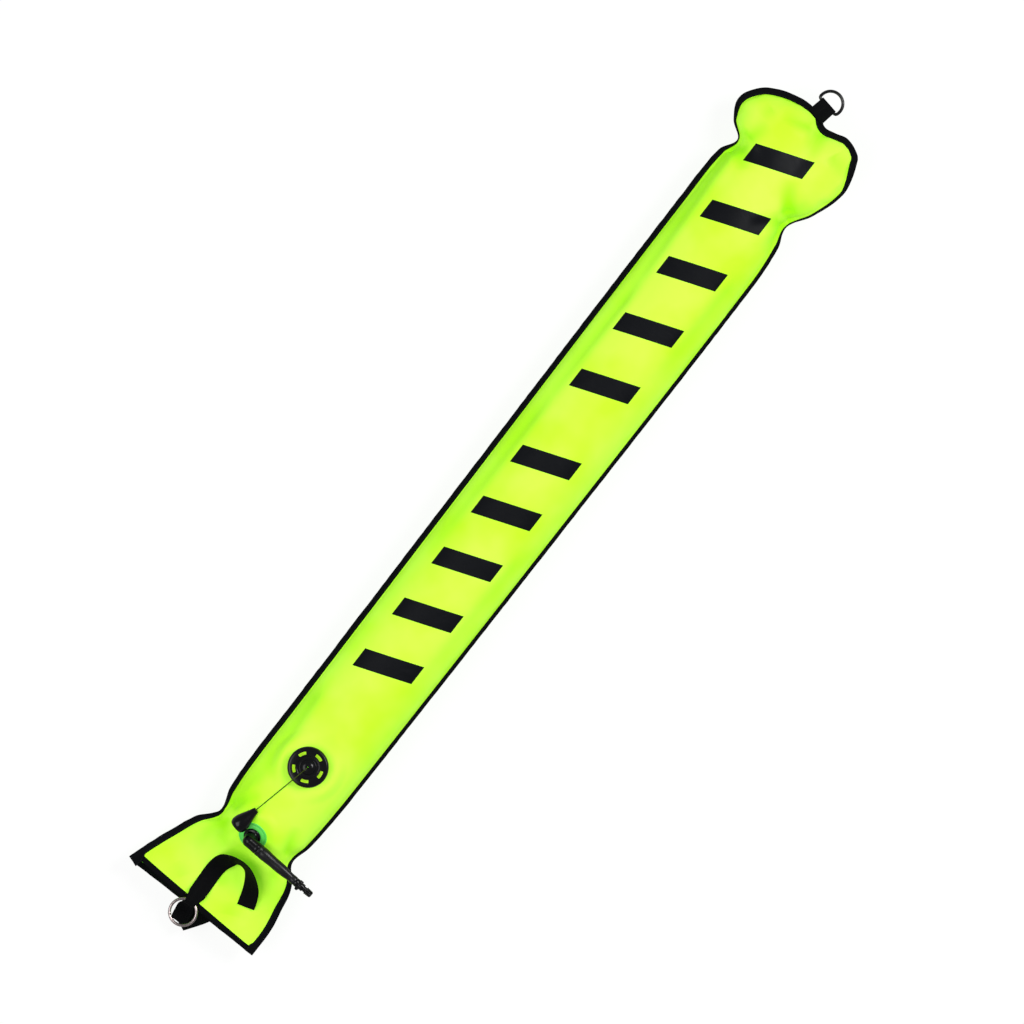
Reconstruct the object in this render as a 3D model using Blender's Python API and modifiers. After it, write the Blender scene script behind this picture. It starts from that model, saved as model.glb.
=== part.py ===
"""Surface marker buoy: a long inflated nylon tube with an open tail skirt.

Frame: metres, +X towards the head, +Y towards the left edge when the head is up, +Z out of the front.
The origin is the middle of the flat patch that the tube rests on, halfway along the fabric.
"""
import math

import bmesh
import bpy
from mathutils import Matrix, Vector
from mathutils.bvhtree import BVHTree

MM = 0.001
GAP = 0.3 * MM              # clearance between touching pieces
SKIN = 0.6 * MM             # thickness of the coated nylon
WELD = 0.001 * MM           # merge distance

# Envelope: lengths along the buoy
HALF_LENGTH = 756 * MM      # from the middle to the hem, and to the head's seam
SKIRT_LENGTH = 144 * MM     # hem to waist
HEAD_LENGTH = 102 * MM      # left neck to the end of the fabric
NECK_SLANT = 60 * MM        # how far the right neck lies below the left one

# Envelope: half widths over the binding, and heights
HEM_LEFT = 133 * MM
HEM_RIGHT = 104 * MM
WAIST_HALF = 69.5 * MM
BODY_HALF = 80 * MM
HEAD_BODY_HALF = 85 * MM    # the tube widens slightly towards the head
NECK_HALF = 68.5 * MM
LOBE_HALF = 106.5 * MM
BODY_RISE = 60 * MM         # from the seam's plane to the crown
WAIST_RISE = 42 * MM
HEAD_RISE = 47 * MM
MOUTH_RISE = 12 * MM        # half of the open mouth's height
SKIRT_DROOP = 20 * MM       # how far the skirt hangs below the tube's axis
REST_FLAT = 1.5 * MM        # depth of the flat patch where the tube rests
HEM_SETBACK = 9 * MM        # the front hem lies this far inside the rear one at the left
NOTCH_DIP = 0.22            # share of the height lost in the valley below the head's notch
NOTCH_PLACE = -23 * MM      # across, the notch beside the head tab
NOTCH_SPREAD = 20 * MM

# Binding tape
TAPE = 0.8 * MM
BINDING_WIDTH = 11.5 * MM
HEM_BINDING_WIDTH = 7.5 * MM

# Inner sleeve
SLEEVE_ENTRY = 40 * MM      # from the waist towards the hem
SLEEVE_LENGTH = 150 * MM
SLEEVE_LIPS = 90 * MM       # width of the closed end
SLEEVE_SKIN = 0.5 * MM
SLEEVE_INSET = 12 * MM      # from the seam to the sleeve's edge at its entry
LIP_GAP = 0.6 * MM

# Dump valve
VALVE_FROM_WAIST = 127.5 * MM
VALVE_SIDE = 2.5 * MM
VALVE_RADIUS = 31 * MM
VALVE_RIM = 12 * MM         # height of the cap's edge over the fabric
VALVE_HEIGHT = 19.3 * MM
VALVE_NECK = 25 * MM
VALVE_BORE = 10 * MM
VALVE_LIFT = 3 * MM
SLOT_COUNT = 5
SLOT_RADIUS = 21.5 * MM
SLOT_DEPTH = 6.5 * MM
SLOT_SPAN = math.radians(27)
SLOT_TURN = math.radians(5)

# Pull cord and knob
CORD = 1.6 * MM
KNOB_LENGTH = 42 * MM
KNOB_RADIUS = 13.3 * MM
KNOB_TIP = 5 * MM
KNOB_FROM_WAIST = 29.7 * MM
KNOB_SIDE = 24.5 * MM
KNOB_YAW = math.radians(12)  # from the tail towards the left edge

# Oral inflator
INFLATOR_FROM_WAIST = -5 * MM
INFLATOR_SIDE = 5 * MM
PATCH_RADIUS = 22.5 * MM
PATCH = 1.2 * MM
BOSS_RADIUS = 10 * MM
ARM_HEIGHT = 17 * MM        # hose axis over the fabric
ARM_YAW = math.radians(-94)
ARM_RADIUS = 9.6 * MM
SPIGOT_RADIUS = 5.8 * MM
AIR_BORE = 4 * MM
HOSE_START = 18 * MM        # from the elbow's upright axis
HOSE_END = 92 * MM
HOSE_TIP_RADIUS = 6.6 * MM
BARREL_END = 108 * MM
BARREL_RADIUS = 6.6 * MM
MOUTH_TIP = 124 * MM
PUSH = 4 * MM
MOUTH_BORE = 2.6 * MM

# Webbing and rings
WEBBING = 1.5 * MM
STRAP_WIDTH = 27.5 * MM
TAB_AT_SEAM = 26 * MM
TAB_AT_BAR = 29 * MM
TAB_OVERLAP = 9 * MM        # how far the tab's legs reach over the binding
TAB_SIDE = -7 * MM
TAB_YAW = math.radians(-11)
D_BAR_OUT = 15.5 * MM       # from the head's edge to the bar
D_RADIUS = 18.6 * MM        # to the wire's centre
D_BAR_DROP = 6 * MM         # from the ring's centre to its bar
D_WIRE = 2.4 * MM
RING_RADIUS = 20.2 * MM
RING_WIRE = 2.25 * MM
RING_SIDE = 18 * MM
RING_OUT = 17.2 * MM          # from the hem to the ring's centre

TAIL_X = -HALF_LENGTH
WAIST_X = TAIL_X + SKIRT_LENGTH
HEAD_X = HALF_LENGTH
LEFT_NECK_X = HEAD_X - HEAD_LENGTH
RIGHT_NECK_X = LEFT_NECK_X - NECK_SLANT
SEAM_HALF = (SKIN + GAP) / 2
AXIS_Z = BODY_RISE + SEAM_HALF + SKIN / 2 - REST_FLAT

# Places along both edges that are paired in one row of the panels:
# left x, right x, left half width, right half width, crown height, left and right tilt of the seam in degrees
STATIONS = (
    (TAIL_X, TAIL_X - 5 * MM, HEM_LEFT, HEM_RIGHT, MOUTH_RISE, 0, 0),
    (TAIL_X + 0.25 * SKIRT_LENGTH, TAIL_X + 0.25 * SKIRT_LENGTH, HEM_LEFT - 12 * MM, HEM_RIGHT, MOUTH_RISE, 0, 0),
    (TAIL_X + 0.5 * SKIRT_LENGTH, TAIL_X + 0.5 * SKIRT_LENGTH, HEM_LEFT - 26 * MM, HEM_RIGHT - 6 * MM,
     MOUTH_RISE + 3 * MM, 0, 0),
    (WAIST_X - 34 * MM, WAIST_X - 32 * MM, HEM_LEFT - 43 * MM, HEM_RIGHT - 16 * MM, WAIST_RISE - 16 * MM, 10, 20),
    (WAIST_X, WAIST_X, WAIST_HALF + 1.3 * MM, WAIST_HALF - 1.3 * MM, WAIST_RISE, 30, 45),
    (WAIST_X + 30 * MM, WAIST_X + 30 * MM, BODY_HALF - 4 * MM, BODY_HALF - 7 * MM, WAIST_RISE + 9 * MM, 22, 45),
    (WAIST_X + 90 * MM, WAIST_X + 90 * MM, BODY_HALF, BODY_HALF - 2.5 * MM, BODY_RISE - 1 * MM, 22, 45),
    (WAIST_X + 180 * MM, WAIST_X + 180 * MM, BODY_HALF, BODY_HALF - 0.8 * MM, BODY_RISE, 22, 45),
    (0.0, 0.0, 0.5 * (BODY_HALF + HEAD_BODY_HALF), 0.5 * (BODY_HALF + HEAD_BODY_HALF), BODY_RISE, 22, 45),
    (LEFT_NECK_X - 110 * MM, RIGHT_NECK_X - 100 * MM, HEAD_BODY_HALF, HEAD_BODY_HALF - 1 * MM, BODY_RISE, 22, 45),
    (LEFT_NECK_X - 30 * MM, RIGHT_NECK_X - 34 * MM, HEAD_BODY_HALF - 2.5 * MM, HEAD_BODY_HALF - 6.5 * MM,
     BODY_RISE - 5 * MM, 25, 45),
    (LEFT_NECK_X, RIGHT_NECK_X, NECK_HALF, NECK_HALF, HEAD_RISE + 2 * MM, 42, 48),
    (LEFT_NECK_X + 19 * MM, RIGHT_NECK_X + 38 * MM, LOBE_HALF - 15 * MM, LOBE_HALF - 16 * MM, HEAD_RISE, 20, 45),
    (LEFT_NECK_X + 48 * MM, RIGHT_NECK_X + 92 * MM, LOBE_HALF, LOBE_HALF, HEAD_RISE - 6 * MM, 0, 28),
    (HEAD_X - 24 * MM, HEAD_X - 24 * MM, LOBE_HALF - 14.5 * MM, LOBE_HALF - 11 * MM, HEAD_RISE - 8 * MM, 0, 0),
)
ROWS_AFTER = (2, 2, 3, 3, 3, 5, 7, 3, 4, 2, 3, 3, 3, 6)
LOBE_ROW = 13               # the station where the rounding of the head's end begins

# The head's outer edge between its shoulders: across, then along
HEAD_EDGE = (
    (66 * MM, HEAD_X - 6 * MM),
    (27 * MM, HEAD_X + 4.5 * MM),
    (-6 * MM, HEAD_X + 2 * MM),
    (NOTCH_PLACE, HEAD_X - 13 * MM),
    (-41 * MM, HEAD_X - 5 * MM),
    (-61 * MM, HEAD_X - 1.5 * MM),
    (-84 * MM, HEAD_X - 10 * MM),
)
COLUMN_ANGLES = (0, 13, 24, 36, 52, 71, 90)
HEM_END = 0.8              # where a hem binding ends, as a share of the outermost facet


def clear_scene():
    for item in list(bpy.data.objects):
        bpy.data.objects.remove(item, do_unlink=True)


clear_scene()
PARTS = bpy.data.collections.new("surface_marker_buoy")
CUTTERS = bpy.data.collections.new("cutters")
bpy.context.scene.collection.children.link(PARTS)
bpy.context.scene.collection.children.link(CUTTERS)


def material(name, colour, roughness, metallic=0.0, alpha=1.0):
    """A Principled BSDF with the piece's colour."""
    mat = bpy.data.materials.new(name)
    mat.use_nodes = True
    shader = mat.node_tree.nodes["Principled BSDF"]
    shader.inputs["Base Color"].default_value = (*colour, 1.0)
    shader.inputs["Roughness"].default_value = roughness
    shader.inputs["Metallic"].default_value = metallic
    shader.inputs["Alpha"].default_value = alpha
    return mat


FABRIC_YELLOW = (0.57, 1.0, 0.03)
BLACK = (0.004, 0.004, 0.006)
RUBBER_BLACK = (0.008, 0.008, 0.01)
PATCH_GREEN = (0.14, 0.72, 0.14)
STEEL = (0.55, 0.53, 0.53)


def add_object(name, mesh, colour, roughness, metallic=0.0, alpha=1.0):
    """Puts a mesh in the parts collection as one named piece."""
    item = bpy.data.objects.new(name, mesh)
    PARTS.objects.link(item)
    item.data.materials.append(material(name, colour, roughness, metallic, alpha))
    return item


def mesh_from_rows(name, rows, closed_rows=False, caps=False, turned_columns=()):
    """Joins rows of points with quads, as a loft. Points that coincide become one.

    Quads in turned_columns start at their other side, so that twisted layers share one diagonal.
    """
    mesh = bpy.data.meshes.new(name)
    work = bmesh.new()
    grid = [[work.verts.new(point) for point in row] for row in rows]
    across = len(rows[0])
    steps = across if closed_rows else across - 1
    for near, far in zip(grid, grid[1:]):
        for i in range(steps):
            j = (i + 1) % across
            a, b = (j, i) if i in turned_columns else (i, j)
            work.faces.new((near[a], near[b], far[b], far[a]))
    if caps:
        work.faces.new(list(reversed(grid[0])))
        work.faces.new(grid[-1])
    bmesh.ops.remove_doubles(work, verts=work.verts, dist=WELD)
    bmesh.ops.dissolve_degenerate(work, dist=WELD, edges=work.edges)
    bmesh.ops.recalc_face_normals(work, faces=work.faces)
    work.to_mesh(mesh)
    work.free()
    return mesh


def smooth(mesh, degrees=35):
    mesh.shade_smooth()
    mesh.set_sharp_from_angle(angle=math.radians(degrees))


def solidify(item, thickness):
    """Gives an open sheet its thickness, half to each side."""
    shell = item.modifiers.new("thickness", "SOLIDIFY")
    shell.thickness = thickness
    shell.offset = 0.0
    shell.use_even_offset = True


def turned(name, profile, place, steps, look, collection=None):
    """Turns a profile of (radius, height) points about the local Z axis.

    A profile that touches the axis at both ends is closed there, any other one is a ring.
    """
    area = sum(a[0] * b[1] - b[0] * a[1] for a, b in zip(profile, profile[1:] + profile[:1]))
    points = list(reversed(profile)) if area > 0 else list(profile)
    on_axis = [p for p in points if p[0] == 0]
    if on_axis:
        while not (points[0][0] == 0 and points[-1][0] == 0):
            points = points[1:] + points[:1]
    mesh = bpy.data.meshes.new(name)
    edges = [(i, i + 1) for i in range(len(points) - 1)]
    if not on_axis:
        edges.append((len(points) - 1, 0))
    mesh.from_pydata([(r, 0, z) for r, z in points], edges, [])
    if collection is None:
        item = add_object(name, mesh, *look)
    else:
        item = bpy.data.objects.new(name, mesh)
        collection.objects.link(item)
    item.matrix_world = place
    screw = item.modifiers.new("turn", "SCREW")
    screw.steps = steps
    screw.render_steps = steps
    screw.use_merge_vertices = True
    screw.merge_threshold = WELD
    screw.use_smooth_shade = True
    return item


def as_cutter(item):
    item.hide_render = True
    item.display_type = "WIRE"
    return item


def cylinder_cutter(name, radius, low, high, place, steps=32):
    profile = [(0, low), (radius, low), (radius, high), (0, high)]
    return as_cutter(turned(name, profile, place, steps, None, CUTTERS))


def boolean(item, cutter, operation="DIFFERENCE"):
    step = item.modifiers.new(cutter.name, "BOOLEAN")
    step.object = cutter
    step.operation = operation
    step.solver = "EXACT"


def tube(name, points, radius, place, cyclic, look, resolution=2):
    """A wire of round section along points, with filled ends."""
    curve = bpy.data.curves.new(name, "CURVE")
    curve.dimensions = "3D"
    curve.bevel_depth = radius
    curve.bevel_resolution = resolution
    curve.use_fill_caps = not cyclic
    line = curve.splines.new("POLY")
    line.points.add(len(points) - 1)
    for target, point in zip(line.points, points):
        target.co = (*point, 1.0)
    line.use_cyclic_u = cyclic
    item = bpy.data.objects.new(name, curve)
    PARTS.objects.link(item)
    curve.materials.append(material(name, *look))
    item.matrix_world = place
    return item


def through(knots, value):
    """Smooth curve through (place, value) pairs with rising places."""
    places = [k[0] for k in knots]
    last = len(knots) - 1
    i = 0
    while i < last - 1 and value > places[i + 1]:
        i += 1

    def slope(n):
        low, high = max(n - 1, 0), min(n + 1, last)
        return (knots[high][1] - knots[low][1]) / (places[high] - places[low])

    span = places[i + 1] - places[i]
    t = (value - places[i]) / span
    a, b = knots[i][1], knots[i + 1][1]
    h = t * t * (3 - 2 * t)
    return a + (b - a) * h + span * (t * (1 - t) ** 2 * slope(i) - t * t * (1 - t) * slope(i + 1))


def straight(knots, value):
    """Straight lines through (place, value) pairs with rising places."""
    if value <= knots[0][0]:
        return knots[0][1]
    for (x0, y0), (x1, y1) in zip(knots, knots[1:]):
        if value <= x1:
            return y0 + (y1 - y0) * (value - x0) / (x1 - x0)
    return knots[-1][1]


def ease(value, low, high):
    """0 at low, 1 at high, level at both."""
    t = min(max((value - low) / (high - low), 0.0), 1.0)
    return t * t * (3 - 2 * t)


LEFT_KNOTS = [(s[0], s[2]) for s in STATIONS] + [(HEAD_EDGE[0][1], HEAD_EDGE[0][0])]
RIGHT_KNOTS = [(s[1], s[3]) for s in STATIONS] + [(HEAD_EDGE[-1][1], -HEAD_EDGE[-1][0])]
HEAD_KNOTS = sorted([(STATIONS[-1][2], STATIONS[-1][0]), (STATIONS[-2][2], STATIONS[-2][0]),
                     (-STATIONS[-1][3], STATIONS[-1][1]), (-STATIONS[-2][3], STATIONS[-2][1])]
                    + list(HEAD_EDGE))
RISE_KNOTS = [(s[0], s[4]) for s in STATIONS]
LEFT_TILT = [(s[0], math.radians(s[5])) for s in STATIONS]
RIGHT_TILT = [(s[1], math.radians(s[6])) for s in STATIONS]
SLOPE_STEP = 0.5 * MM


def middle_z(x):
    """Height of the seam's plane: level along the tube, lower in the skirt."""
    return AXIS_Z - SKIRT_DROOP * ease(-x, -(WAIST_X + 20 * MM), -(TAIL_X + 60 * MM))


def edge_frame(x, side):
    """Seam point, outward and upward directions of the seam allowance at one side."""
    knots, tilts = (LEFT_KNOTS, LEFT_TILT) if side > 0 else (RIGHT_KNOTS, RIGHT_TILT)
    half = through(knots, x)
    slope = (through(knots, x + SLOPE_STEP) - through(knots, x - SLOPE_STEP)) / (2 * SLOPE_STEP)
    flat = Vector((-slope, side, 0)).normalized()
    tilt = straight(tilts, x)
    out = flat * math.cos(tilt) - Vector((0, 0, math.sin(tilt)))
    up = flat * math.sin(tilt) + Vector((0, 0, math.cos(tilt)))
    rim = Vector((x, side * half, middle_z(x)))
    seam = rim - flat * (BINDING_WIDTH * math.cos(tilt))
    return seam, out, up, tilt


def head_frame(y):
    """The same at the head's edge, at one place across."""
    slope = (through(HEAD_KNOTS, y + SLOPE_STEP) - through(HEAD_KNOTS, y - SLOPE_STEP)) / (2 * SLOPE_STEP)
    out = Vector((1, -slope, 0)).normalized()
    rim = Vector((through(HEAD_KNOTS, y), y, AXIS_Z))
    return rim - out * BINDING_WIDTH, out, Vector((0, 0, 1)), 0.0


def row_places():
    """Left x, right x and the share of the head's rounding for each row of the panels."""
    rows = []
    for i, count in enumerate(ROWS_AFTER):
        a, b = STATIONS[i], STATIONS[i + 1]
        for k in range(count):
            t = k / count
            turn = 0.0
            if i == LOBE_ROW:
                turn = t * math.pi / 2
                t = math.sin(turn)
            rows.append((a[0] + (b[0] - a[0]) * t, a[1] + (b[1] - a[1]) * t, turn))
    rows.append((STATIONS[-1][0], STATIONS[-1][1], math.pi / 2))
    return rows


def hem_setback(x):
    """How far the front panel's rows move towards the head near its left hem."""
    return HEM_SETBACK * max(0.0, 1 - (x - TAIL_X) / (0.25 * SKIRT_LENGTH))


ROWS = row_places()
LEFT_FRAMES = [edge_frame(r[0], 1) for r in ROWS]
RIGHT_FRAMES = [edge_frame(r[1], -1) for r in ROWS]
SHOULDER_LEFT = STATIONS[-1][2]
SHOULDER_RIGHT = -STATIONS[-1][3]
FRONT_LEFT_FRAMES = [edge_frame(r[0] + hem_setback(r[0]), 1) for r in ROWS]


def shares(angles):
    """Places of a panel's columns across its width, from -1 at the left edge to 1 at the right."""
    spread = [math.sin(math.radians(a)) for a in angles]
    return [-s for s in reversed(spread)] + spread[1:]


def head_frames(spread):
    """Frames along the head's edge at a panel's columns."""
    width = SHOULDER_RIGHT - SHOULDER_LEFT
    frames = [head_frame(SHOULDER_LEFT + width * (s + 1) / 2) for s in spread]
    frames[0], frames[-1] = LEFT_FRAMES[-1], RIGHT_FRAMES[-1]
    return frames


def section_height(x, share):
    """Shape of the cross-section: an ellipse in the tube, a flat slot at the hem."""
    flat = ease(-x, -WAIST_X, -(TAIL_X + 40 * MM))
    return (1 - abs(share) ** (2 + 2 * flat)) ** (0.5 + 0.5 * flat)


def crown(x):
    """Height of the front panel's crown over the floor, before the valves flatten it."""
    return middle_z(x) + SEAM_HALF + through(RISE_KNOTS, x)


class Seat:
    """A round place on the front panel that is pressed flat under a valve's flange."""

    def __init__(self, x, y, sink, inner, outer):
        slope = (crown(x + SLOPE_STEP * 8) - crown(x - SLOPE_STEP * 8)) / (SLOPE_STEP * 16)
        self.centre = Vector((x, y, crown(x) - sink))
        self.normal = Vector((-slope, 0, 1)).normalized()
        self.inner = inner
        self.outer = outer

    def press(self, point):
        """Moves a point of the panel to the seat's plane near its centre."""
        away = point - self.centre
        level = self.centre.z - (away.x * self.normal.x + away.y * self.normal.y) / self.normal.z
        weight = ease(away.xy.length, self.inner, self.outer)
        return Vector((point.x, point.y, level + (point.z - level) * weight))

    def place(self, yaw=0.0, lift=0.0):
        """Matrix of the seat on the fabric's outer face, with local Z along its normal."""
        head = Vector((1, 0, 0))
        head = (head - self.normal * head.dot(self.normal)).normalized()
        side = self.normal.cross(head)
        turn = Matrix((head, side, self.normal)).transposed().to_4x4()
        origin = self.centre + self.normal * (SKIN / 2 + lift)
        return Matrix.Translation(origin) @ turn @ Matrix.Rotation(yaw, 4, "Z")


VALVE_SEAT = Seat(WAIST_X + VALVE_FROM_WAIST, VALVE_SIDE, 2.5 * MM, 40 * MM, 58 * MM)
INFLATOR_SEAT = Seat(WAIST_X + INFLATOR_FROM_WAIST, INFLATOR_SIDE, 1.5 * MM, 28 * MM, 44 * MM)


def panel_rows(face):
    """Rows of points of one panel, with its seam allowance. face is 1 in front and -1 behind."""
    lean = Vector((0, 0, face * SEAM_HALF))
    last_left, last_right = LEFT_FRAMES[-1][0], RIGHT_FRAMES[-1][0]
    neck = LEFT_NECK_X - 30 * MM
    reach = BINDING_WIDTH - TAPE - GAP
    spread = shares(COLUMN_ANGLES)
    ends = head_frames(spread)
    lefts = FRONT_LEFT_FRAMES if face > 0 else LEFT_FRAMES
    rows = []
    for (xl, _, turn), left, right in zip(ROWS, lefts, RIGHT_FRAMES):
        head_bow = ((xl - neck) / (STATIONS[-1][0] - neck)) ** 1.6 if xl > neck else 0.0
        row = []
        for share, head in zip(spread, ends):
            v = (share + 1) / 2
            bow = head[0] - last_left.lerp(last_right, v)
            point = left[0].lerp(right[0], v) + Vector((bow.x, bow.y, 0)) * head_bow
            rise = through(RISE_KNOTS, xl) * section_height(xl, share) * math.cos(turn)
            valley = math.exp(-((point.y - NOTCH_PLACE) / NOTCH_SPREAD) ** 2)
            rise *= 1 - NOTCH_DIP * head_bow * valley
            point += lean + Vector((0, 0, face * rise))
            if face > 0:
                point = INFLATOR_SEAT.press(VALVE_SEAT.press(point))
            else:
                point.z = max(point.z, SKIN / 2)
            row.append(point)
        row[0] = left[0] + left[2] * face * SEAM_HALF
        row[-1] = right[0] + right[2] * face * SEAM_HALF
        row.insert(0, row[0] + left[1] * reach)
        row.append(row[-1] + right[1] * reach)
        rows.append(row)
    end = [head[0] + head[2] * face * SEAM_HALF + head[1] * reach for head in ends]
    end[0], end[-1] = rows[-1][0], rows[-1][-1]
    rows.append([end[0]] + end + [end[-1]])
    return rows


FABRIC_LOOK = (FABRIC_YELLOW, 0.45)
TAPE_LOOK = (BLACK, 0.75)
PLASTIC_LOOK = (RUBBER_BLACK, 0.3)


def make_panel(name, face):
    mesh = mesh_from_rows(name, panel_rows(face), turned_columns=(0,))
    smooth(mesh)
    panel = add_object(name, mesh, *FABRIC_LOOK)
    solidify(panel, SKIN)
    return panel, mesh


FRONT_ROWS = panel_rows(1)
BACK_ROWS = panel_rows(-1)
front_panel, front_sheet = make_panel("front_panel", 1)
back_panel, back_sheet = make_panel("back_panel", -1)


def sheet_tree(mesh):
    faces = [tuple(p.vertices) for p in mesh.polygons]
    return BVHTree.FromPolygons([v.co.copy() for v in mesh.vertices], faces)


FRONT_TREE = sheet_tree(front_sheet)
BACK_TREE = sheet_tree(back_sheet)
FAR = 1.0


def panel_height(face, x, y, clear):
    """Height of a point over or under one panel's middle, a clearance away from it along its normal."""
    tree = FRONT_TREE if face > 0 else BACK_TREE
    hit = tree.ray_cast(Vector((x, y, face * FAR)), Vector((0, 0, -face)))
    return hit[0].z + face * clear / max(abs(hit[1].z), 0.3)


def front_top(x, y):
    """Height of the front panel's outer face."""
    return panel_height(1, x, y, SKIN / 2)


def back_under(x, y):
    """Height of the back panel's outer face."""
    return panel_height(-1, x, y, SKIN / 2)


def channel(start, end, inner, centre, out, up):
    """Section of a folded tape: both legs from start, closed at end, round an inner half thickness."""
    outer = inner + TAPE
    deep = end - TAPE
    corners = ((start, outer), (end - 0.5 * MM, outer), (end, inner * 0.5), (end, -inner * 0.5),
               (end - 0.5 * MM, -outer), (start, -outer), (start, -inner), (deep, -inner), (deep, inner),
               (start, inner))
    return [centre + out * a + up * b for a, b in corners]


SEAM_INNER = SEAM_HALF + SKIN / 2 + GAP
SEAM_OUTER = SEAM_INNER + TAPE


def make_edge_binding(name, frames):
    """Tape over the welded seam, along one side and round the head to the tab."""
    rows = []
    for seam, out, up, tilt in frames:
        start = 0.8 * MM + SEAM_OUTER * math.tan(tilt)
        rows.append(channel(start, BINDING_WIDTH, SEAM_INNER, seam, out, up))
    mesh = mesh_from_rows(name, rows, closed_rows=True, caps=True, turned_columns=(4, 8))
    smooth(mesh)
    return add_object(name, mesh, *TAPE_LOOK)


def tape_end(frames, place, backwards):
    """A frame between two others at one place across the head, where the two tapes meet."""
    order = list(reversed(frames)) if backwards else list(frames)
    kept = []
    for near, far in zip(order, order[1:]):
        kept.append(near)
        y0, y1 = near[0].y, far[0].y
        if min(y0, y1) <= place <= max(y0, y1):
            t = (place - y0) / (y1 - y0)
            kept.append((near[0].lerp(far[0], t), near[1].lerp(far[1], t).normalized(), near[2], 0.0))
            break
    return kept


EDGE_FRAMES = head_frames(shares(COLUMN_ANGLES))
make_edge_binding("edge_binding_left",
                  LEFT_FRAMES[:-1] + tape_end(EDGE_FRAMES, TAB_SIDE + GAP / 2, False))
make_edge_binding("edge_binding_right",
                  RIGHT_FRAMES[:-1] + tape_end(EDGE_FRAMES, TAB_SIDE - GAP / 2, True))


def make_hem_binding(name, rows):
    """Tape folded over one panel's raw hem, between the side bindings."""
    edge, inside = rows[0][1:-1], rows[1][1:-1]
    edge = [edge[0].lerp(edge[1], HEM_END)] + edge[1:-1] + [edge[-1].lerp(edge[-2], HEM_END)]
    inside = [inside[0].lerp(inside[1], HEM_END)] + inside[1:-1] + [inside[-1].lerp(inside[-2], HEM_END)]
    inner = SKIN / 2 + GAP
    sections = []
    for i, (point, behind) in enumerate(zip(edge, inside)):
        along = edge[min(i + 1, len(edge) - 1)] - edge[max(i - 1, 0)]
        out = (point - behind).normalized()
        up = along.cross(out).normalized()
        out = up.cross(along).normalized()
        sections.append(channel(-HEM_BINDING_WIDTH, GAP + TAPE, inner, point, out, up))
    mesh = mesh_from_rows(name, sections, closed_rows=True, caps=True)
    smooth(mesh)
    return add_object(name, mesh, *TAPE_LOOK)


make_hem_binding("front_hem_binding", FRONT_ROWS)
make_hem_binding("back_hem_binding", BACK_ROWS)


def make_sleeve(name, face):
    """One flap of the self-sealing sleeve: wide on the panel at its entry, closed at its lips."""
    entry = WAIST_X - SLEEVE_ENTRY
    steps, across = 8, 10
    under = -(SKIN / 2 + GAP + SLEEVE_SKIN / 2 + 0.1 * MM)
    rows = []
    for i in range(steps + 1):
        t = i / steps
        x = entry + SLEEVE_LENGTH * t
        left, right = edge_frame(x, 1)[0].y, edge_frame(x, -1)[0].y
        half = (left - right) / 2 - SLEEVE_INSET
        if i == 0:
            centre, wide = (left + right) / 2, half
        half += (SLEEVE_LIPS / 2 - half) * ease(t, 0, 1)
        row = []
        for j in range(across + 1):
            s = -math.cos(math.pi * j / across)
            open_z = panel_height(face, entry, centre + wide * s, under) - middle_z(entry)
            lip_z = face * (LIP_GAP + SLEEVE_SKIN) / 2
            z = open_z + (lip_z - open_z) * ease(t, 0, 1)
            row.append(Vector((x, centre * (1 - t) + half * s, middle_z(x) + z)))
        rows.append(row)
    mesh = mesh_from_rows(name, rows)
    smooth(mesh)
    flap = add_object(name, mesh, *FABRIC_LOOK)
    solidify(flap, SLEEVE_SKIN)
    return flap


make_sleeve("duckbill_front", 1)
make_sleeve("duckbill_back", -1)


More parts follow.
